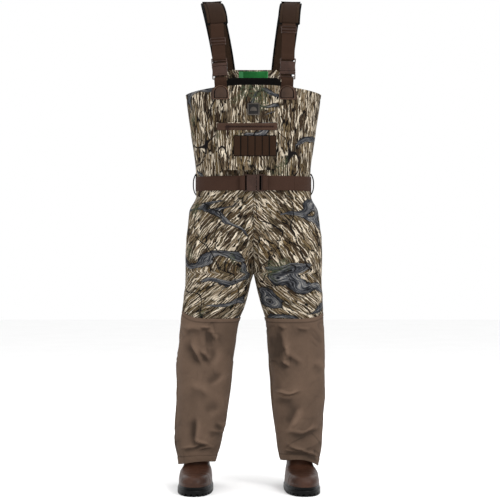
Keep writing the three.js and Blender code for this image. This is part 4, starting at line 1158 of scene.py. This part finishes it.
def lug_blocks():
    """Square lugs all round the edge of the sole, and chevron bars between them."""
    blocks = []
    fine = 400
    outline = sole_outline(fine, -0.0020)
    run = run_length(np.concatenate([outline, outline[:1]]))
    count = 40
    for k in range(count):
        i = int(np.searchsorted(run, run[-1] * k / count)) % fine
        x, y = outline[i]
        if -0.006 < y < 0.032:
            continue
        ahead = outline[(i + 3) % fine] - outline[i - 3]
        turn = math.atan2(ahead[1], ahead[0])
        low, high = (-0.0068, -0.0062, 0), (0.0068, 0.0064, 0.0100)
        blocks.append(block(low, high, 0.0012, turn, (x, y, SOLE)))
    for row in range(13):
        y = TOE + 0.024 + row * 0.0205
        if -0.012 < y < 0.040:
            continue
        places = [TOE, TOE + 0.05, -0.05, HEEL - 0.03, HEEL]
        half = np.interp(y, places, [0.018, 0.040, 0.042, 0.034, 0.018])
        for hand in (1, -1):
            low, high = (0.003, -0.0045, 0), (half - 0.004, 0.0045, 0.0085)
            if hand < 0:
                low, high = (-high[0], low[1], 0), (-low[0], high[1], high[2])
            blocks.append(block(low, high, 0.001, hand * math.radians(14), (0, y, SOLE)))
    return blocks


# ---------------------------------------------------------------- buckles and straps
# A buckle's length and its socket's mouth, the rail beside the webbing, the webbing's slack in a
# slot, and how far a buckle's plug pulls out.
BUCKLE = 0.072
MOUTH = 0.044
RAIL = 0.0045
SLACK = 0.0006
RELEASE_TRAVEL = 0.034


def ladder_bars(width, z0, z1, bars, depth=0.0050):
    """Side rails with round bars across them."""
    shell = width / 2 + RAIL
    pieces = []
    for x0, x1 in ((-shell, -width / 2 - SLACK), (width / 2 + SLACK, shell)):
        pieces.append(slab(rounded(x0, x1, z0, z1, 0.0015), -depth / 2, depth / 2, 0.0010))
    for z in bars:
        bar = rounded(-shell + 0.001, shell - 0.001, z - 0.0014, z + 0.0014, 0.0010, 2)
        pieces.append(slab(bar, -depth / 2, depth / 2, 0.0008))
    return pieces


def socket_piece(name, width, matrix):
    shell = width / 2 + RAIL
    outline = []
    for k in range(9):
        t = k / 8
        outline.append((shell - 0.0016 * math.sin(math.pi * t), 0.0115 + (MOUTH - 0.0115) * t))
    outline += [(-x, z) for x, z in outline[::-1]]
    body = slab(outline, -0.006, 0.006, 0.0016)
    cut_box(body, (-width / 2 - 0.002, -0.0036, 0.014), (width / 2 + 0.002, 0.0036, 0.060))
    cut_box(body, (-shell - 0.01, -0.0028, 0.0185), (shell + 0.01, 0.0028, 0.0355))
    face = rounded(-width * 0.30, width * 0.30, 0.018, 0.038, 0.004)
    face = slab(face, -0.0066, -0.0055, 0.0004)
    pieces = [body, face] + ladder_bars(width, 0.0, 0.014, (0.0014,))
    return join(name, pieces, matrix)


def plug_piece(name, width, matrix):
    shell = width / 2 + RAIL
    z0, z1 = MOUTH + 0.001, MOUTH + 0.011
    outline = [(shell - 0.001, z0), (shell, z0 + 0.004), (shell - 0.0012, z1)]
    outline += [(-x, z) for x, z in outline[::-1]]
    shoulder = slab(outline, -0.006, 0.006, 0.0014)
    tongue = rounded(-width * 0.15, width * 0.15, 0.023, z0 + 0.002, 0.003)
    pieces = [shoulder, slab(tongue, -0.0025, 0.0025, 0.0008)]
    pieces += ladder_bars(width, z1 - 0.002, BUCKLE, (BUCKLE - 0.0014, BUCKLE - 0.0084))
    return join(name, pieces, matrix)


def arm_piece(name, width, hand, matrix):
    far = width / 2 + 0.0014
    outline = [
        (far - 0.007, MOUTH), (far - 0.005, 0.030), (far - 0.0042, 0.022),
        (far - 0.003, 0.0205), (far - 0.001, 0.0200), (far, 0.0225),
        (far, 0.031), (far - 0.0012, 0.037), (far - 0.001, MOUTH),
    ]
    if hand < 0:
        outline = [(-x, z) for x, z in outline[::-1]]
    return join(name, [slab(outline, -0.0026, 0.0026, 0.0008)], matrix)


TILT = math.radians(6)
PATCH_TOP = BIB_TOP - 0.001
FOOT_Y = -(DEPTH + 0.004) - 0.0024 - 0.006
BUCKLE_FOOT = 0.020
PAD_START = 0.215
STRAP_TAIL_X = 0.098
PAD_THICKNESS = 0.008
PAD_GAP = 0.0012
LAYOUT = {
    "left": {"foot": 0.115, "top": 0.131, "plug_above": False, "glide": 0.193},
    "right": {"foot": -0.112, "top": -0.146, "plug_above": True, "glide": 0.152},
}
LOOP = 0.004
BAR = 0.0026


def strap_matrix(layout):
    run = SHOULDER - PATCH_TOP
    yaw = math.atan2((layout["top"] - layout["foot"]) * 0.55, run)
    place = Matrix.Translation((layout["foot"], FOOT_Y, SOLE + PATCH_TOP))
    return place @ Matrix.Rotation(-TILT, 4, "X") @ Matrix.Rotation(yaw, 4, "Y")


def fold(bar, end, way, tail):
    """A strip that comes from end, turns round the bar and finishes behind it."""
    points = []
    far = bar + way * 0.019
    if way * (end - far) > 0:
        points += [(0.0, z) for z in np.linspace(end, far, 12)]
        for k in range(1, 7):
            t = k / 7
            points.append((-LOOP * t * t * (3 - 2 * t), far + (bar + way * 0.008 - far) * t))
    else:
        points.append((-LOOP, end))
    for k in range(9):
        turn = math.pi * k / 8
        points.append((-LOOP * math.cos(turn), bar - way * LOOP * math.sin(turn)))
    points.append((LOOP, bar + way * tail))
    return [(0.0, y, z) for y, z in points]


def moved(points, matrix):
    return np.array([matrix @ Vector(p) for p in points])


def bezier(a, b, c, d, count):
    t = np.linspace(0, 1, count)[:, None]
    a, b, c, d = (np.asarray(p, float) for p in (a, b, c, d))
    return a * (1 - t) ** 3 + 3 * b * t * (1 - t) ** 2 + 3 * c * t**2 * (1 - t) + d * t**3


def front_surface(z, x):
    half = outer_x(np.maximum(z, WAIST))
    return -front_y(z) * (1 - np.abs(x / half) ** ROUNDNESS) ** (1 / ROUNDNESS)


def strap_route(layout, sign, matrix):
    start = matrix @ Vector((0, 0, PAD_START))
    rise = (matrix.to_3x3() @ Vector((0, 0, 1))).normalized()
    crest = np.array([layout["top"], 0, SOLE + SHOULDER])
    stack = 0.0045 + PAD_THICKNESS + PAD_GAP + WEBBING / 2
    surface = -float(front_surface(np.array(BIB_TOP), np.array(STRAP_TAIL_X - PAD_WIDTH / 2)))
    tail = np.array([sign * STRAP_TAIL_X, surface + stack, SOLE + BIB_TOP + 0.030])
    over = bezier(start, start + rise * 0.055, crest + np.array([0, -0.055, 0]), crest, 26)
    leaving, landing = crest + np.array([0, 0.060, 0]), tail + np.array([sign * 0.008, 0, 0.120])
    back = bezier(crest, leaving, landing, tail, 38)
    return np.concatenate([over, back[1:]])


# One thread's corners: share of its length, half widths across, half widths up.
THREAD_CORNERS = (
    (0, -1, -1), (0, 1, -1), (1, 1, -1), (1, -1, -1),
    (0.15, -0.7, 1), (0.15, 0.7, 1), (0.85, 0.7, 1), (0.85, -0.7, 1),
)
THREAD_SIDES = ((0, 1, 2, 3), (4, 7, 6, 5), (0, 4, 5, 1), (1, 5, 6, 2), (2, 6, 7, 3), (3, 7, 4, 0))


def stitches(line, side, pitch, length=0.0023, width=0.0006):
    """Small raised threads in a row along a line of points."""
    run = run_length(line)
    places = np.arange(pitch, run[-1] - pitch, pitch)
    at = np.stack([np.interp(places, run, line[:, k]) for k in range(3)], -1)
    ahead = np.stack([np.interp(places + length, run, line[:, k]) for k in range(3)], -1)
    across = np.stack([np.interp(places, run, side[:, k]) for k in range(3)], -1)
    along = (ahead - at) / length
    up = unit(np.cross(across, along))
    verts, faces = [], []
    for p, a, c, n in zip(at, along, across, up):
        first = len(verts)
        for f, w, h in THREAD_CORNERS:
            verts.append(p + a * length * f + c * width / 2 * w + n * width / 2 * h)
        for quad in THREAD_SIDES:
            faces.append([first + k for k in quad])
    return make_object("stitches", verts, faces)


def puff(obj, voxel, cap):
    """Swells a padded piece under its own pressure, by no more than cap."""
    remesh = obj.modifiers.new("remesh", "REMESH")
    remesh.mode = "VOXEL"
    remesh.voxel_size = voxel
    apply_modifiers(obj)
    count = len(obj.data.vertices)
    before = np.empty(count * 3)
    obj.data.vertices.foreach_get("co", before)
    cloth = obj.modifiers.new("cloth", "CLOTH")
    cloth.settings.use_pressure = True
    cloth.settings.uniform_pressure_force = 4.0
    cloth.settings.effector_weights.gravity = 0.0
    scene = bpy.context.scene
    for step in range(1, 17):
        scene.frame_set(step)
    evaluated = obj.evaluated_get(bpy.context.evaluated_depsgraph_get())
    after = np.empty(count * 3)
    evaluated.data.vertices.foreach_get("co", after)
    obj.modifiers.clear()
    scene.frame_set(1)
    moved_by = (after - before).reshape(-1, 3)
    size = np.linalg.norm(moved_by, axis=1, keepdims=True)
    moved_by *= np.minimum(1, cap / np.maximum(size, 1e-9))
    obj.data.vertices.foreach_set("co", before + moved_by.reshape(-1))
    finer = obj.modifiers.new("finer", "SUBSURF")
    finer.levels = 1
    apply_modifiers(obj)
    obj.data.polygons.foreach_set("use_smooth", [True] * len(obj.data.polygons))


def build_straps():
    for name, sign in SIDES:
        layout = LAYOUT[name]
        matrix = strap_matrix(layout)
        across = np.array(matrix.to_3x3() @ Vector((1, 0, 0)))
        above = layout["plug_above"]
        low_bar = BUCKLE_FOOT + BAR / 2
        high_bar = BUCKLE_FOOT + BUCKLE - BAR / 2
        low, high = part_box("strap_anchor_" + name)
        middle = (low.y + high.y) / 2
        foot = np.array([(layout["foot"], middle, high.z - down) for down in (0.012, 0.006, 0.0)])
        tab_line = np.concatenate([foot, moved(fold(low_bar, 0.0070, -1, 0.015), matrix)])
        tab = strip("strap_tab_web_" + name, tab_line, across, STRAP_WIDTH - 0.003, WEBBING)
        dress(tab, "torso", "webbing", WEB, "strap_tab_" + name)

        run_line = moved(fold(high_bar, PAD_START - 0.0012, 1, 0.015), matrix)
        run = strip("strap_run_" + name, run_line, across, STRAP_WIDTH, WEBBING)
        dress(run, "torso", "webbing", WEB, "strap_free_run_" + name)
        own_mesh(run)

        place = matrix @ Matrix.Translation((0, 0, BUCKLE_FOOT))
        if not above:
            place = place @ Matrix.Translation((0, 0, BUCKLE)) @ Matrix.Rotation(math.pi, 4, "Y")
        socket = socket_piece("buckle_socket_" + name, STRAP_WIDTH, place)
        plug = plug_piece("buckle_plug_" + name, STRAP_WIDTH, place)
        plug_body = "strap_plug_right" if above else "torso"
        socket_body = "torso" if above else "strap_socket_left"
        dress(socket, socket_body, "buckle_plastic", PLASTIC, "strap_socket_" + name)
        dress(plug, plug_body, "buckle_plastic", PLASTIC, "strap_plug_" + name)
        for hand, mark in ((1, "a"), (-1, "b")):
            which = mark + "_" + name
            arm = arm_piece("buckle_arm_" + which, STRAP_WIDTH, hand, place)
            dress(arm, "strap_arm_" + which, "buckle_plastic", PLASTIC, "strap_plug_arm_" + which)

        shell = STRAP_WIDTH / 2 + 0.004
        hole = STRAP_WIDTH / 2 + SLACK
        holes = [(-hole, hole, -0.0086, -0.0026), (-hole, hole, 0.0026, 0.0086)]
        glide = slab(rounded(-shell, shell, -0.012, 0.012, 0.003), -0.0032, 0.0032, 0.0)
        cut_box(glide, (-hole, -0.0016, -0.02), (hole, 0.0016, 0.02))
        for x0, x1, z0, z1 in holes:
            cut_box(glide, (x0, -0.01, z0), (x1, 0.0, z1))
        add_bevel(glide, 0.0006, segments=2)
        apply_modifiers(glide)
        glide_place = matrix @ Matrix.Translation((0, 0, layout["glide"]))
        slider = join("tri_glide_" + name, [glide], glide_place)
        slider_node = "strap_slider_" + name
        dress(slider, slider_node, "buckle_plastic", PLASTIC, slider_node)

        route = strap_route(layout, sign, matrix)
        web = strip("strap_web_" + name, route, (1, 0, 0), STRAP_WIDTH, WEBBING)
        dress(web, "torso", "webbing", PAD_WEB, "strap_webbing_" + name)
        along = unit(np.gradient(route, axis=0))
        out = unit(np.cross(np.array([1.0, 0, 0]), along))
        middle = route - out * (WEBBING / 2 + PAD_GAP + PAD_THICKNESS / 2)
        pad_size = PAD_WIDTH - 0.004, PAD_THICKNESS - 0.0016
        pad = strip("pad_" + name, middle, (1, 0, 0), *pad_size, crown=0.0006, round_share=0.48)
        puff(pad, 0.0045, 0.0018)
        dress(pad, "torso", "padding", PAD, "shoulder_pad_" + name)
        side = unit(np.cross(along, out))
        bound = 0.0064, PAD_THICKNESS + 0.0002
        for hand, mark in ((1, "outer"), (-1, "inner")):
            edge_line = middle - side * hand * (PAD_WIDTH / 2 - bound[0] / 2)
            edge_name = "pad_edge_" + mark + "_" + name
            edge = strip(edge_name, edge_line, (1, 0, 0), *bound, round_share=0.40)
            dress(edge, "torso", "padding", BINDING)
        end_line = middle[0] + side[0] * np.linspace(-0.5, 0.5, 12)[:, None] * (PAD_WIDTH - 0.004)
        end = strip("pad_end_" + name, end_line, along[0], *bound, round_share=0.40)
        dress(end, "torso", "padding", BINDING)
        face = route + out * (WEBBING / 2)
        near = np.abs(route[:, 1]) < 0.034
        cover_line = (face + out * 0.0011)[near]
        cover = strip("pad_cover_" + name, cover_line, (1, 0, 0), PAD_WIDTH - 0.010, 0.0012)
        dress(cover, "torso", "padding", PAD)
        for mark, k in (("front", 0), ("back", -1)):
            reach = side[0] * np.linspace(-0.5, 0.5, 8)[:, None] * (PAD_WIDTH - 0.008)
            seam_name = "pad_seam_" + mark + "_" + name
            seam = strip(seam_name, cover_line[k] + reach, along[near][k], 0.0050, 0.0018)
            dress(seam, "torso", "padding", BINDING)
        rows = [face + side * hand * (STRAP_WIDTH / 2 - 0.0035) for hand in (1, -1)]
        sewn = join("pad_stitching_" + name, [stitches(row, side, 0.0036) for row in rows])
        dress(sewn, "torso", "webbing", THREAD)
        build_patch(name, sign)


def d_outline(half, height, steps=14):
    """Round at the top and straight below, with its top edge at z = 0."""
    points = [(half - 0.003, -height), (half, -height + 0.003)]
    for k in range(steps + 1):
        a = math.pi * k / steps
        points.append((half * power(math.cos(a), 0.9), height * 0.64 * (power(math.sin(a), 0.95) - 1)))
    points += [(-half, -height + 0.003), (-half + 0.003, -height)]
    return points


def build_patch(name, sign):
    """A D-shaped patch: a backing, a raised rim, and a raised D with a bar below it."""
    low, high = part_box("strap_anchor_" + name)
    height = high.z - low.z
    half = (high.x - low.x) / 2

    def scaled(share):
        return [(x * share, (z + height / 2) * share - height / 2) for x, z in d_outline(half, height)]

    place = Matrix.Translation(((low.x + high.x) / 2, high.y - 0.0018, high.z))
    behind = place @ Matrix.Translation((sign * 0.006, 0.0006, -0.001))
    backing = join("patch_backing_" + name, [slab(scaled(1.0), 0.0, 0.0012, 0.0004)], behind)
    dress(backing, "torso", "padding", PATCH)
    base = join("patch_base_" + name, [slab(scaled(0.98), 0.0, 0.0016, 0.0004)], place)
    dress(base, "torso", "padding", BINDING, "strap_anchor_" + name)
    rim = slab(scaled(1.0), -0.0016, 0.0006, 0.0)
    cutter = slab(scaled(0.87), -0.01, 0.01, 0.0)
    subtract(rim, cutter)
    add_bevel(rim, 0.0008)
    apply_modifiers(rim)
    bpy.data.objects.remove(cutter)
    ring = join("patch_rim_" + name, [rim], place)
    dress(ring, "torso", "padding", PATCH_RIM)
    plate = slab([(x, z + height * 0.02) for x, z in scaled(0.74)], -0.0022, 0.0006, 0.0012)
    foot = -height * 0.86
    bar = rounded(-half * 0.72, half * 0.72, foot - 0.0012, foot + 0.0012, 0.001)
    pieces = [plate, slab(bar, -0.0022, 0.0004, 0.0006)]
    middle = join("patch_d_" + name, pieces, place)
    dress(middle, "torso", "padding", PATCH)


# ---------------------------------------------------------------- belt
def belt_line(angles, out):
    z = np.full(len(angles), WAIST)
    points = on_body(z, angles, out)
    points[:, 2] += SOLE
    return points


def build_belt():
    plane = -(DEPTH + 0.001 + 0.006)
    origin_x = -0.035
    out = 0.0012 + WEBBING / 2
    half = float(outer_x(np.array(WAIST))) + out

    def angle_at(x):
        return -math.acos(float(power(x / half, ROUNDNESS / 2)))

    def end_fold(bar_x, way):
        points = [(bar_x + way * 0.014, plane - LOOP)]
        for k in range(9):
            turn = math.pi * k / 8
            points.append((bar_x - way * 1.1 * LOOP * math.sin(turn), plane - LOOP * math.cos(turn)))
        points.append((bar_x + way * 0.012, plane + LOOP))
        return np.array([(x, y, SOLE + WAIST) for x, y in points])

    start, end = origin_x + BAR / 2, origin_x + BUCKLE - BAR / 2
    run_end_x = 0.140
    run_end = angle_at(run_end_x)
    flat = belt_line(np.linspace(angle_at(end + RELEASE_TRAVEL), run_end, 24), out)
    free = np.concatenate([end_fold(end, 1), flat])
    run = strip("belt_run", free, (0, 0, 1), BELT_WIDTH, WEBBING)
    dress(run, "torso", "webbing", BELT, "belt_free_run")
    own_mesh(run)
    angles = np.linspace(angle_at(start - RELEASE_TRAVEL), run_end - 2 * math.pi + 0.002, 200)
    angles = np.where(angles < -math.pi, angles + 2 * math.pi, angles)
    around = np.concatenate([end_fold(start, -1), belt_line(angles, out)])
    belt = strip("belt", around, (0, 0, 1), BELT_WIDTH, WEBBING)
    dress(belt, "torso", "webbing", BELT, "belt_webbing")

    place = Matrix.Translation((origin_x, plane, SOLE + WAIST)) @ Matrix.Rotation(math.pi / 2, 4, "Y")
    socket = socket_piece("belt_buckle_socket", BELT_WIDTH, place)
    dress(socket, "torso", "buckle_plastic", PLASTIC, "belt_socket")
    plug = plug_piece("belt_buckle_plug", BELT_WIDTH, place)
    dress(plug, "belt_plug", "buckle_plastic", PLASTIC, "belt_plug")
    for hand, mark in ((1, "lower"), (-1, "upper")):
        arm = arm_piece("belt_buckle_arm_" + mark, BELT_WIDTH, hand, place)
        dress(arm, "belt_arm_" + mark, "buckle_plastic", PLASTIC, "belt_plug_arm_" + mark)

    ends = np.linspace(-0.003, BUCKLE + 0.003, 6)
    behind = [(origin_x + x, plane + 0.0068, SOLE + WAIST) for x in ends]
    backing = strip("belt_backing", behind, (0, 0, 1), BELT_WIDTH, 0.0006)
    dress(backing, "torso", "webbing", BINDING)

    loops = (("left", 0.0, 0.020), ("right", -math.pi, 0.020), ("back", math.pi / 2, 0.030))
    for name, angle, width in loops:
        foot = belt_line(np.array([angle]), out)[0]
        outward = np.array([foot[0], foot[1], 0]) / math.hypot(foot[0], foot[1])
        across = np.array([-outward[1], outward[0], 0])
        points = []
        for z in np.linspace(-1, 1, 25):
            swell = 0.0098 * max(0.0, 1 - abs(z) ** 2.6) - 0.0008
            points.append(foot + outward * swell + np.array([0, 0, z * (BELT_WIDTH / 2 + 0.012)]))
        loop = strip("loop_" + name, points, across, width, 0.0034)
        dress(loop, "torso", "lining", BINDING, "belt_loop_" + name)


# ---------------------------------------------------------------- pocket and trims
def box_sheet(node, bevel):
    """A grid over a CAD node's box, and the y of a front face with rounded edges."""
    low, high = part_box(node)
    nx, nz = 40, 24
    xs = np.linspace(low.x, high.x, nx)
    zs = np.linspace(low.z, high.z, nz)
    gx, gz = np.meshgrid(xs, zs)
    inset = np.minimum.reduce([gx - low.x, high.x - gx, gz - low.z, high.z - gz])
    edge = np.clip(inset / bevel, 0, 1)
    depth = high.y - low.y
    face = high.y - depth * (0.35 + 0.65 * np.sqrt(1 - (1 - edge) ** 2))
    return gx, gz, face, low, high


def plate_from(name, gx, gz, face, back):
    """A closed plate: the face grid in front of a flat back."""
    front = np.stack([gx, face, gz], -1)
    uv = np.stack([gx, gz], -1)
    rows, columns = gx.shape
    index = np.arange(rows * columns).reshape(rows, columns)
    behind = np.stack([gx, np.full_like(gx, back), gz], -1)
    verts = np.concatenate([front.reshape(-1, 3), behind.reshape(-1, 3)])
    quads = np.stack([index[:-1, :-1], index[:-1, 1:], index[1:, 1:], index[1:, :-1]], -1).reshape(-1, 4)
    faces = quads.tolist() + (quads[:, ::-1] + rows * columns).tolist()
    loop = np.concatenate([index[0], index[1:, -1], index[-1, -2::-1], index[-2:0:-1, 0]])
    for a, b in zip(loop, np.roll(loop, -1)):
        faces.append([a + rows * columns, b + rows * columns, b, a])
    flat = np.concatenate([uv.reshape(-1, 2), uv.reshape(-1, 2)])
    uvs = np.concatenate([flat[list(f)] for f in faces])
    return make_object(name, verts, faces, uvs)


def build_pocket():
    low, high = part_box("handwarmer_pocket")
    rows, columns = 90, 110
    bottom, top = low.z, high.z
    v = np.linspace(0, 1, rows)[:, None]
    z = bottom + (top - bottom) * v
    side_top = top - 0.060
    share = np.clip((side_top - z) / (side_top - bottom), 0, 1)
    inset = 0.022 * share**1.6
    u = np.linspace(0, 1, columns)[None]
    x = (low.x + inset) * (1 - u) + (high.x - inset) * u
    z = np.broadcast_to(z, x.shape).copy()
    y = np.full(x.shape, low.y + 0.0006)
    y += 0.0012 * value_noise(x * 18 + 8, z * 16 + 4, 61, 3)
    rim = np.minimum.reduce([x - low.x - inset, high.x - inset - x, top - z, z - bottom])
    y += 0.0008 * bell(rim, 0.0030) + 0.0009 * bell(rim - 0.009, 0.0011)
    points = np.stack([x, y, z - SOLE], -1)
    uv = np.stack([x, z], -1)
    face = grid_object("pocket_face", points, uv, thickness=0.0024)
    dress(face, "torso", "camo_cloth", CAMO_BIB, "handwarmer_pocket")
    for mark, height, sides_in in (("top", top - 0.0015, 0.001), ("bottom", bottom + 0.0015, 0.023)):
        x0, x1 = low.x + sides_in, high.x - sides_in
        xs = np.linspace(x0, x1, 40)[None]
        surface = front_surface(np.full(xs.shape, height - SOLE), xs) - 0.0008
        front = np.full(xs.shape, low.y + 0.0022)
        depth = np.linspace(0, 1, 8)[:, None]
        ys = front + (surface - front) * depth
        zs = height + 0.0008 * np.sin(xs * 90) * np.sin(np.pi * depth)
        order = slice(None) if mark == "top" else slice(None, None, -1)
        pts = np.stack([np.broadcast_to(xs, ys.shape), ys, zs - SOLE], -1)[order]
        gusset = grid_object("pocket_gusset_" + mark, pts, pts[..., :2], thickness=0.0014)
        dress(gusset, "torso", "camo_cloth", CAMO_BIB)

    heights = np.linspace(bottom + 0.004, top - 0.004, 40)[:, None] - SOLE
    depth = np.linspace(0, 1, 10)[None]
    xs = (low.x + high.x) / 2 + 0.0012 * np.sin(heights * 60) * np.sin(np.pi * depth)
    front = low.y + 0.0042
    sewn_in = np.interp(heights, [bottom - SOLE, top - SOLE], [0.0005, 0.0070])
    back = front_surface(np.broadcast_to(heights, xs.shape), xs) + sewn_in
    ys = front + (back - front) * depth
    pts = np.stack([xs, ys, np.broadcast_to(heights, xs.shape)], -1)
    divider = grid_object("pocket_divider", pts, pts[..., 1:], thickness=0.0014)
    dress(divider, "torso", "lining", LINING)

    gx, gz, face_y, low, high = box_sheet("pocket_zip_tape", 0.002)
    tape = plate_from("pocket_tape", gx, gz, face_y, high.y)
    dress(tape, "torso", "webbing", TAPE, "pocket_zip_tape")

    low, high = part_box("pocket_zip_coil")
    teeth = []
    pitch = 0.0024
    count = int((high.x - low.x) / pitch)
    middle = (low.z + high.z) / 2
    for k in range(count):
        x = low.x + pitch * (k + 0.5)
        for hand in (1, -1):
            z0, z1 = sorted((middle - hand * 0.0004, middle + hand * 0.0023))
            shift = 0.5 * pitch * (hand > 0)
            at = (min(x + shift, high.x - 0.0008), 0, 0)
            near, far = (-0.0007, low.y + 0.0002, z0), (0.0007, high.y, z1)
            teeth.append(block(near, far, 0.0003, at=at))
    coil = join("zip_teeth", teeth)
    dress(coil, "torso", "zip_nylon", ZIP, "pocket_zip_coil")

    low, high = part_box("zip_slider")
    cx, cz = (low.x + high.x) / 2, (low.z + high.z) / 2
    roof = rounded(low.x - cx, high.x - cx, low.z - cz, high.z - cz, 0.0025)
    pieces = [slab(roof, low.y, low.y + 0.0016, 0.0006)]
    for z in (0.0034, -0.0034):
        near = (low.x - cx + 0.0008, low.y + 0.001, z - 0.0008)
        pieces.append(block(near, (high.x - cx - 0.0008, high.y, z + 0.0008), 0.0004))
    slider = join("zip_runner", pieces, Matrix.Translation((cx, 0, cz)))
    dress(slider, "zip_slider", "zip_nylon", ZIP, "zip_slider")
    low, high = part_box("zip_pull")
    cx = (low.x + high.x) / 2
    eye = (-0.0012, 0.0012, high.z - 0.006, high.z - 0.003)
    outline = rounded(-0.003, 0.003, low.z, high.z, 0.0022)
    tab = slab(outline, low.y, high.y, 0.0006, holes=(eye,))
    pull = join("zip_tab", [tab], Matrix.Translation((cx, 0, 0)))
    dress(pull, "zip_pull", "webbing", ZIP, "zip_pull")

    gx, gz, face_y, low, high = box_sheet("pocket_flap", 0.003)
    face_y = face_y + 0.0007 * bell(gz - low.z - 0.007, 0.001)
    flap = plate_from("shell_flap", gx, gz, face_y, high.y)
    dress(flap, "torso", "camo_cloth", CAMO_BIB, "pocket_flap")

    low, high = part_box("shell_holder")
    xs = np.linspace(low.x, high.x, 150)
    zs = np.linspace(low.z, high.z, 40)
    gx, gz = np.meshgrid(xs, zs)
    loops = 6
    phase = (gx - low.x) / (high.x - low.x) * loops
    swell = np.abs(np.sin(np.pi * phase)) ** 0.45
    ends = np.clip(np.minimum(gz - low.z, high.z - gz) / 0.006, 0, 1) ** 0.5
    face_y = high.y - (high.y - low.y) * (0.25 + 0.75 * swell * (0.45 + 0.55 * ends))
    holder = plate_from("shell_loops", gx, gz, face_y, high.y)
    dress(holder, "torso", "elastic", ELASTIC, "shell_holder")
    holder.data.materials.append(ELASTIC_DARK)
    for polygon in holder.data.polygons:
        groove = abs(math.sin(math.pi * loops * (polygon.center.x - low.x) / (high.x - low.x)))
        edge = min(polygon.center.z - low.z, high.z - polygon.center.z)
        if groove < 0.22 or edge < 0.0022:
            polygon.material_index = 1

    low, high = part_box("chest_badge")
    cx, cz = (low.x + high.x) / 2, (low.z + high.z) / 2
    half = (high.x - low.x) / 2
    place = Matrix.Translation((cx, 0, cz))
    base = slab(rounded(-half, half, -half, half, 0.004), low.y + 0.0012, high.y, 0.0006)
    base = join("badge_base", [base], place)
    dress(base, "torso", "badge_rubber", BADGE_DARK, "chest_badge")
    inner = half - 0.0045
    window = ((-inner, inner, -inner, inner),)
    outline = rounded(-half, half, -half, half, 0.004)
    border = slab(outline, low.y, low.y + 0.0016, 0.0005, holes=window)
    dome = [(0.012 * math.cos(a), 0.014 * math.sin(a) - 0.006) for a in np.linspace(0, math.pi, 16)]
    raised = slab(dome, low.y + 0.0002, low.y + 0.0016, 0.0006)
    trim = join("badge_border", [border, raised], place)
    dress(trim, "torso", "badge_rubber", BADGE)

    gx, gz, face_y, low, high = box_sheet("size_label", 0.0015)
    label = plate_from("blank_label", gx, gz, np.full_like(gx, low.y), high.y)
    dress(label, "torso", "label_cloth", LABEL, "size_label")
    label.data.materials.append(LABEL_PALE)
    for polygon in label.data.polygons:
        along = (polygon.center.x - low.x) / (high.x - low.x)
        rim = min(high.z - polygon.center.z, polygon.center.z - low.z, high.x - polygon.center.x)
        if along < 0.16 or rim < 0.0016:
            polygon.material_index = 1


def dress_cad():
    """Materials for the CAD nodes whose own shapes stay."""
    nodes = frame["nodes"]
    for name, _ in SIDES:
        for node in ("boot_insole_", "boot_liner_"):
            obj = nodes[node + name]
            obj.data.materials.clear()
            obj.data.materials.append(LINING)


build_stage()
build_bib()
build_legs()
build_overlays()
build_knee_pads()
build_boots()
build_straps()
build_belt()
build_pocket()
dress_cad()
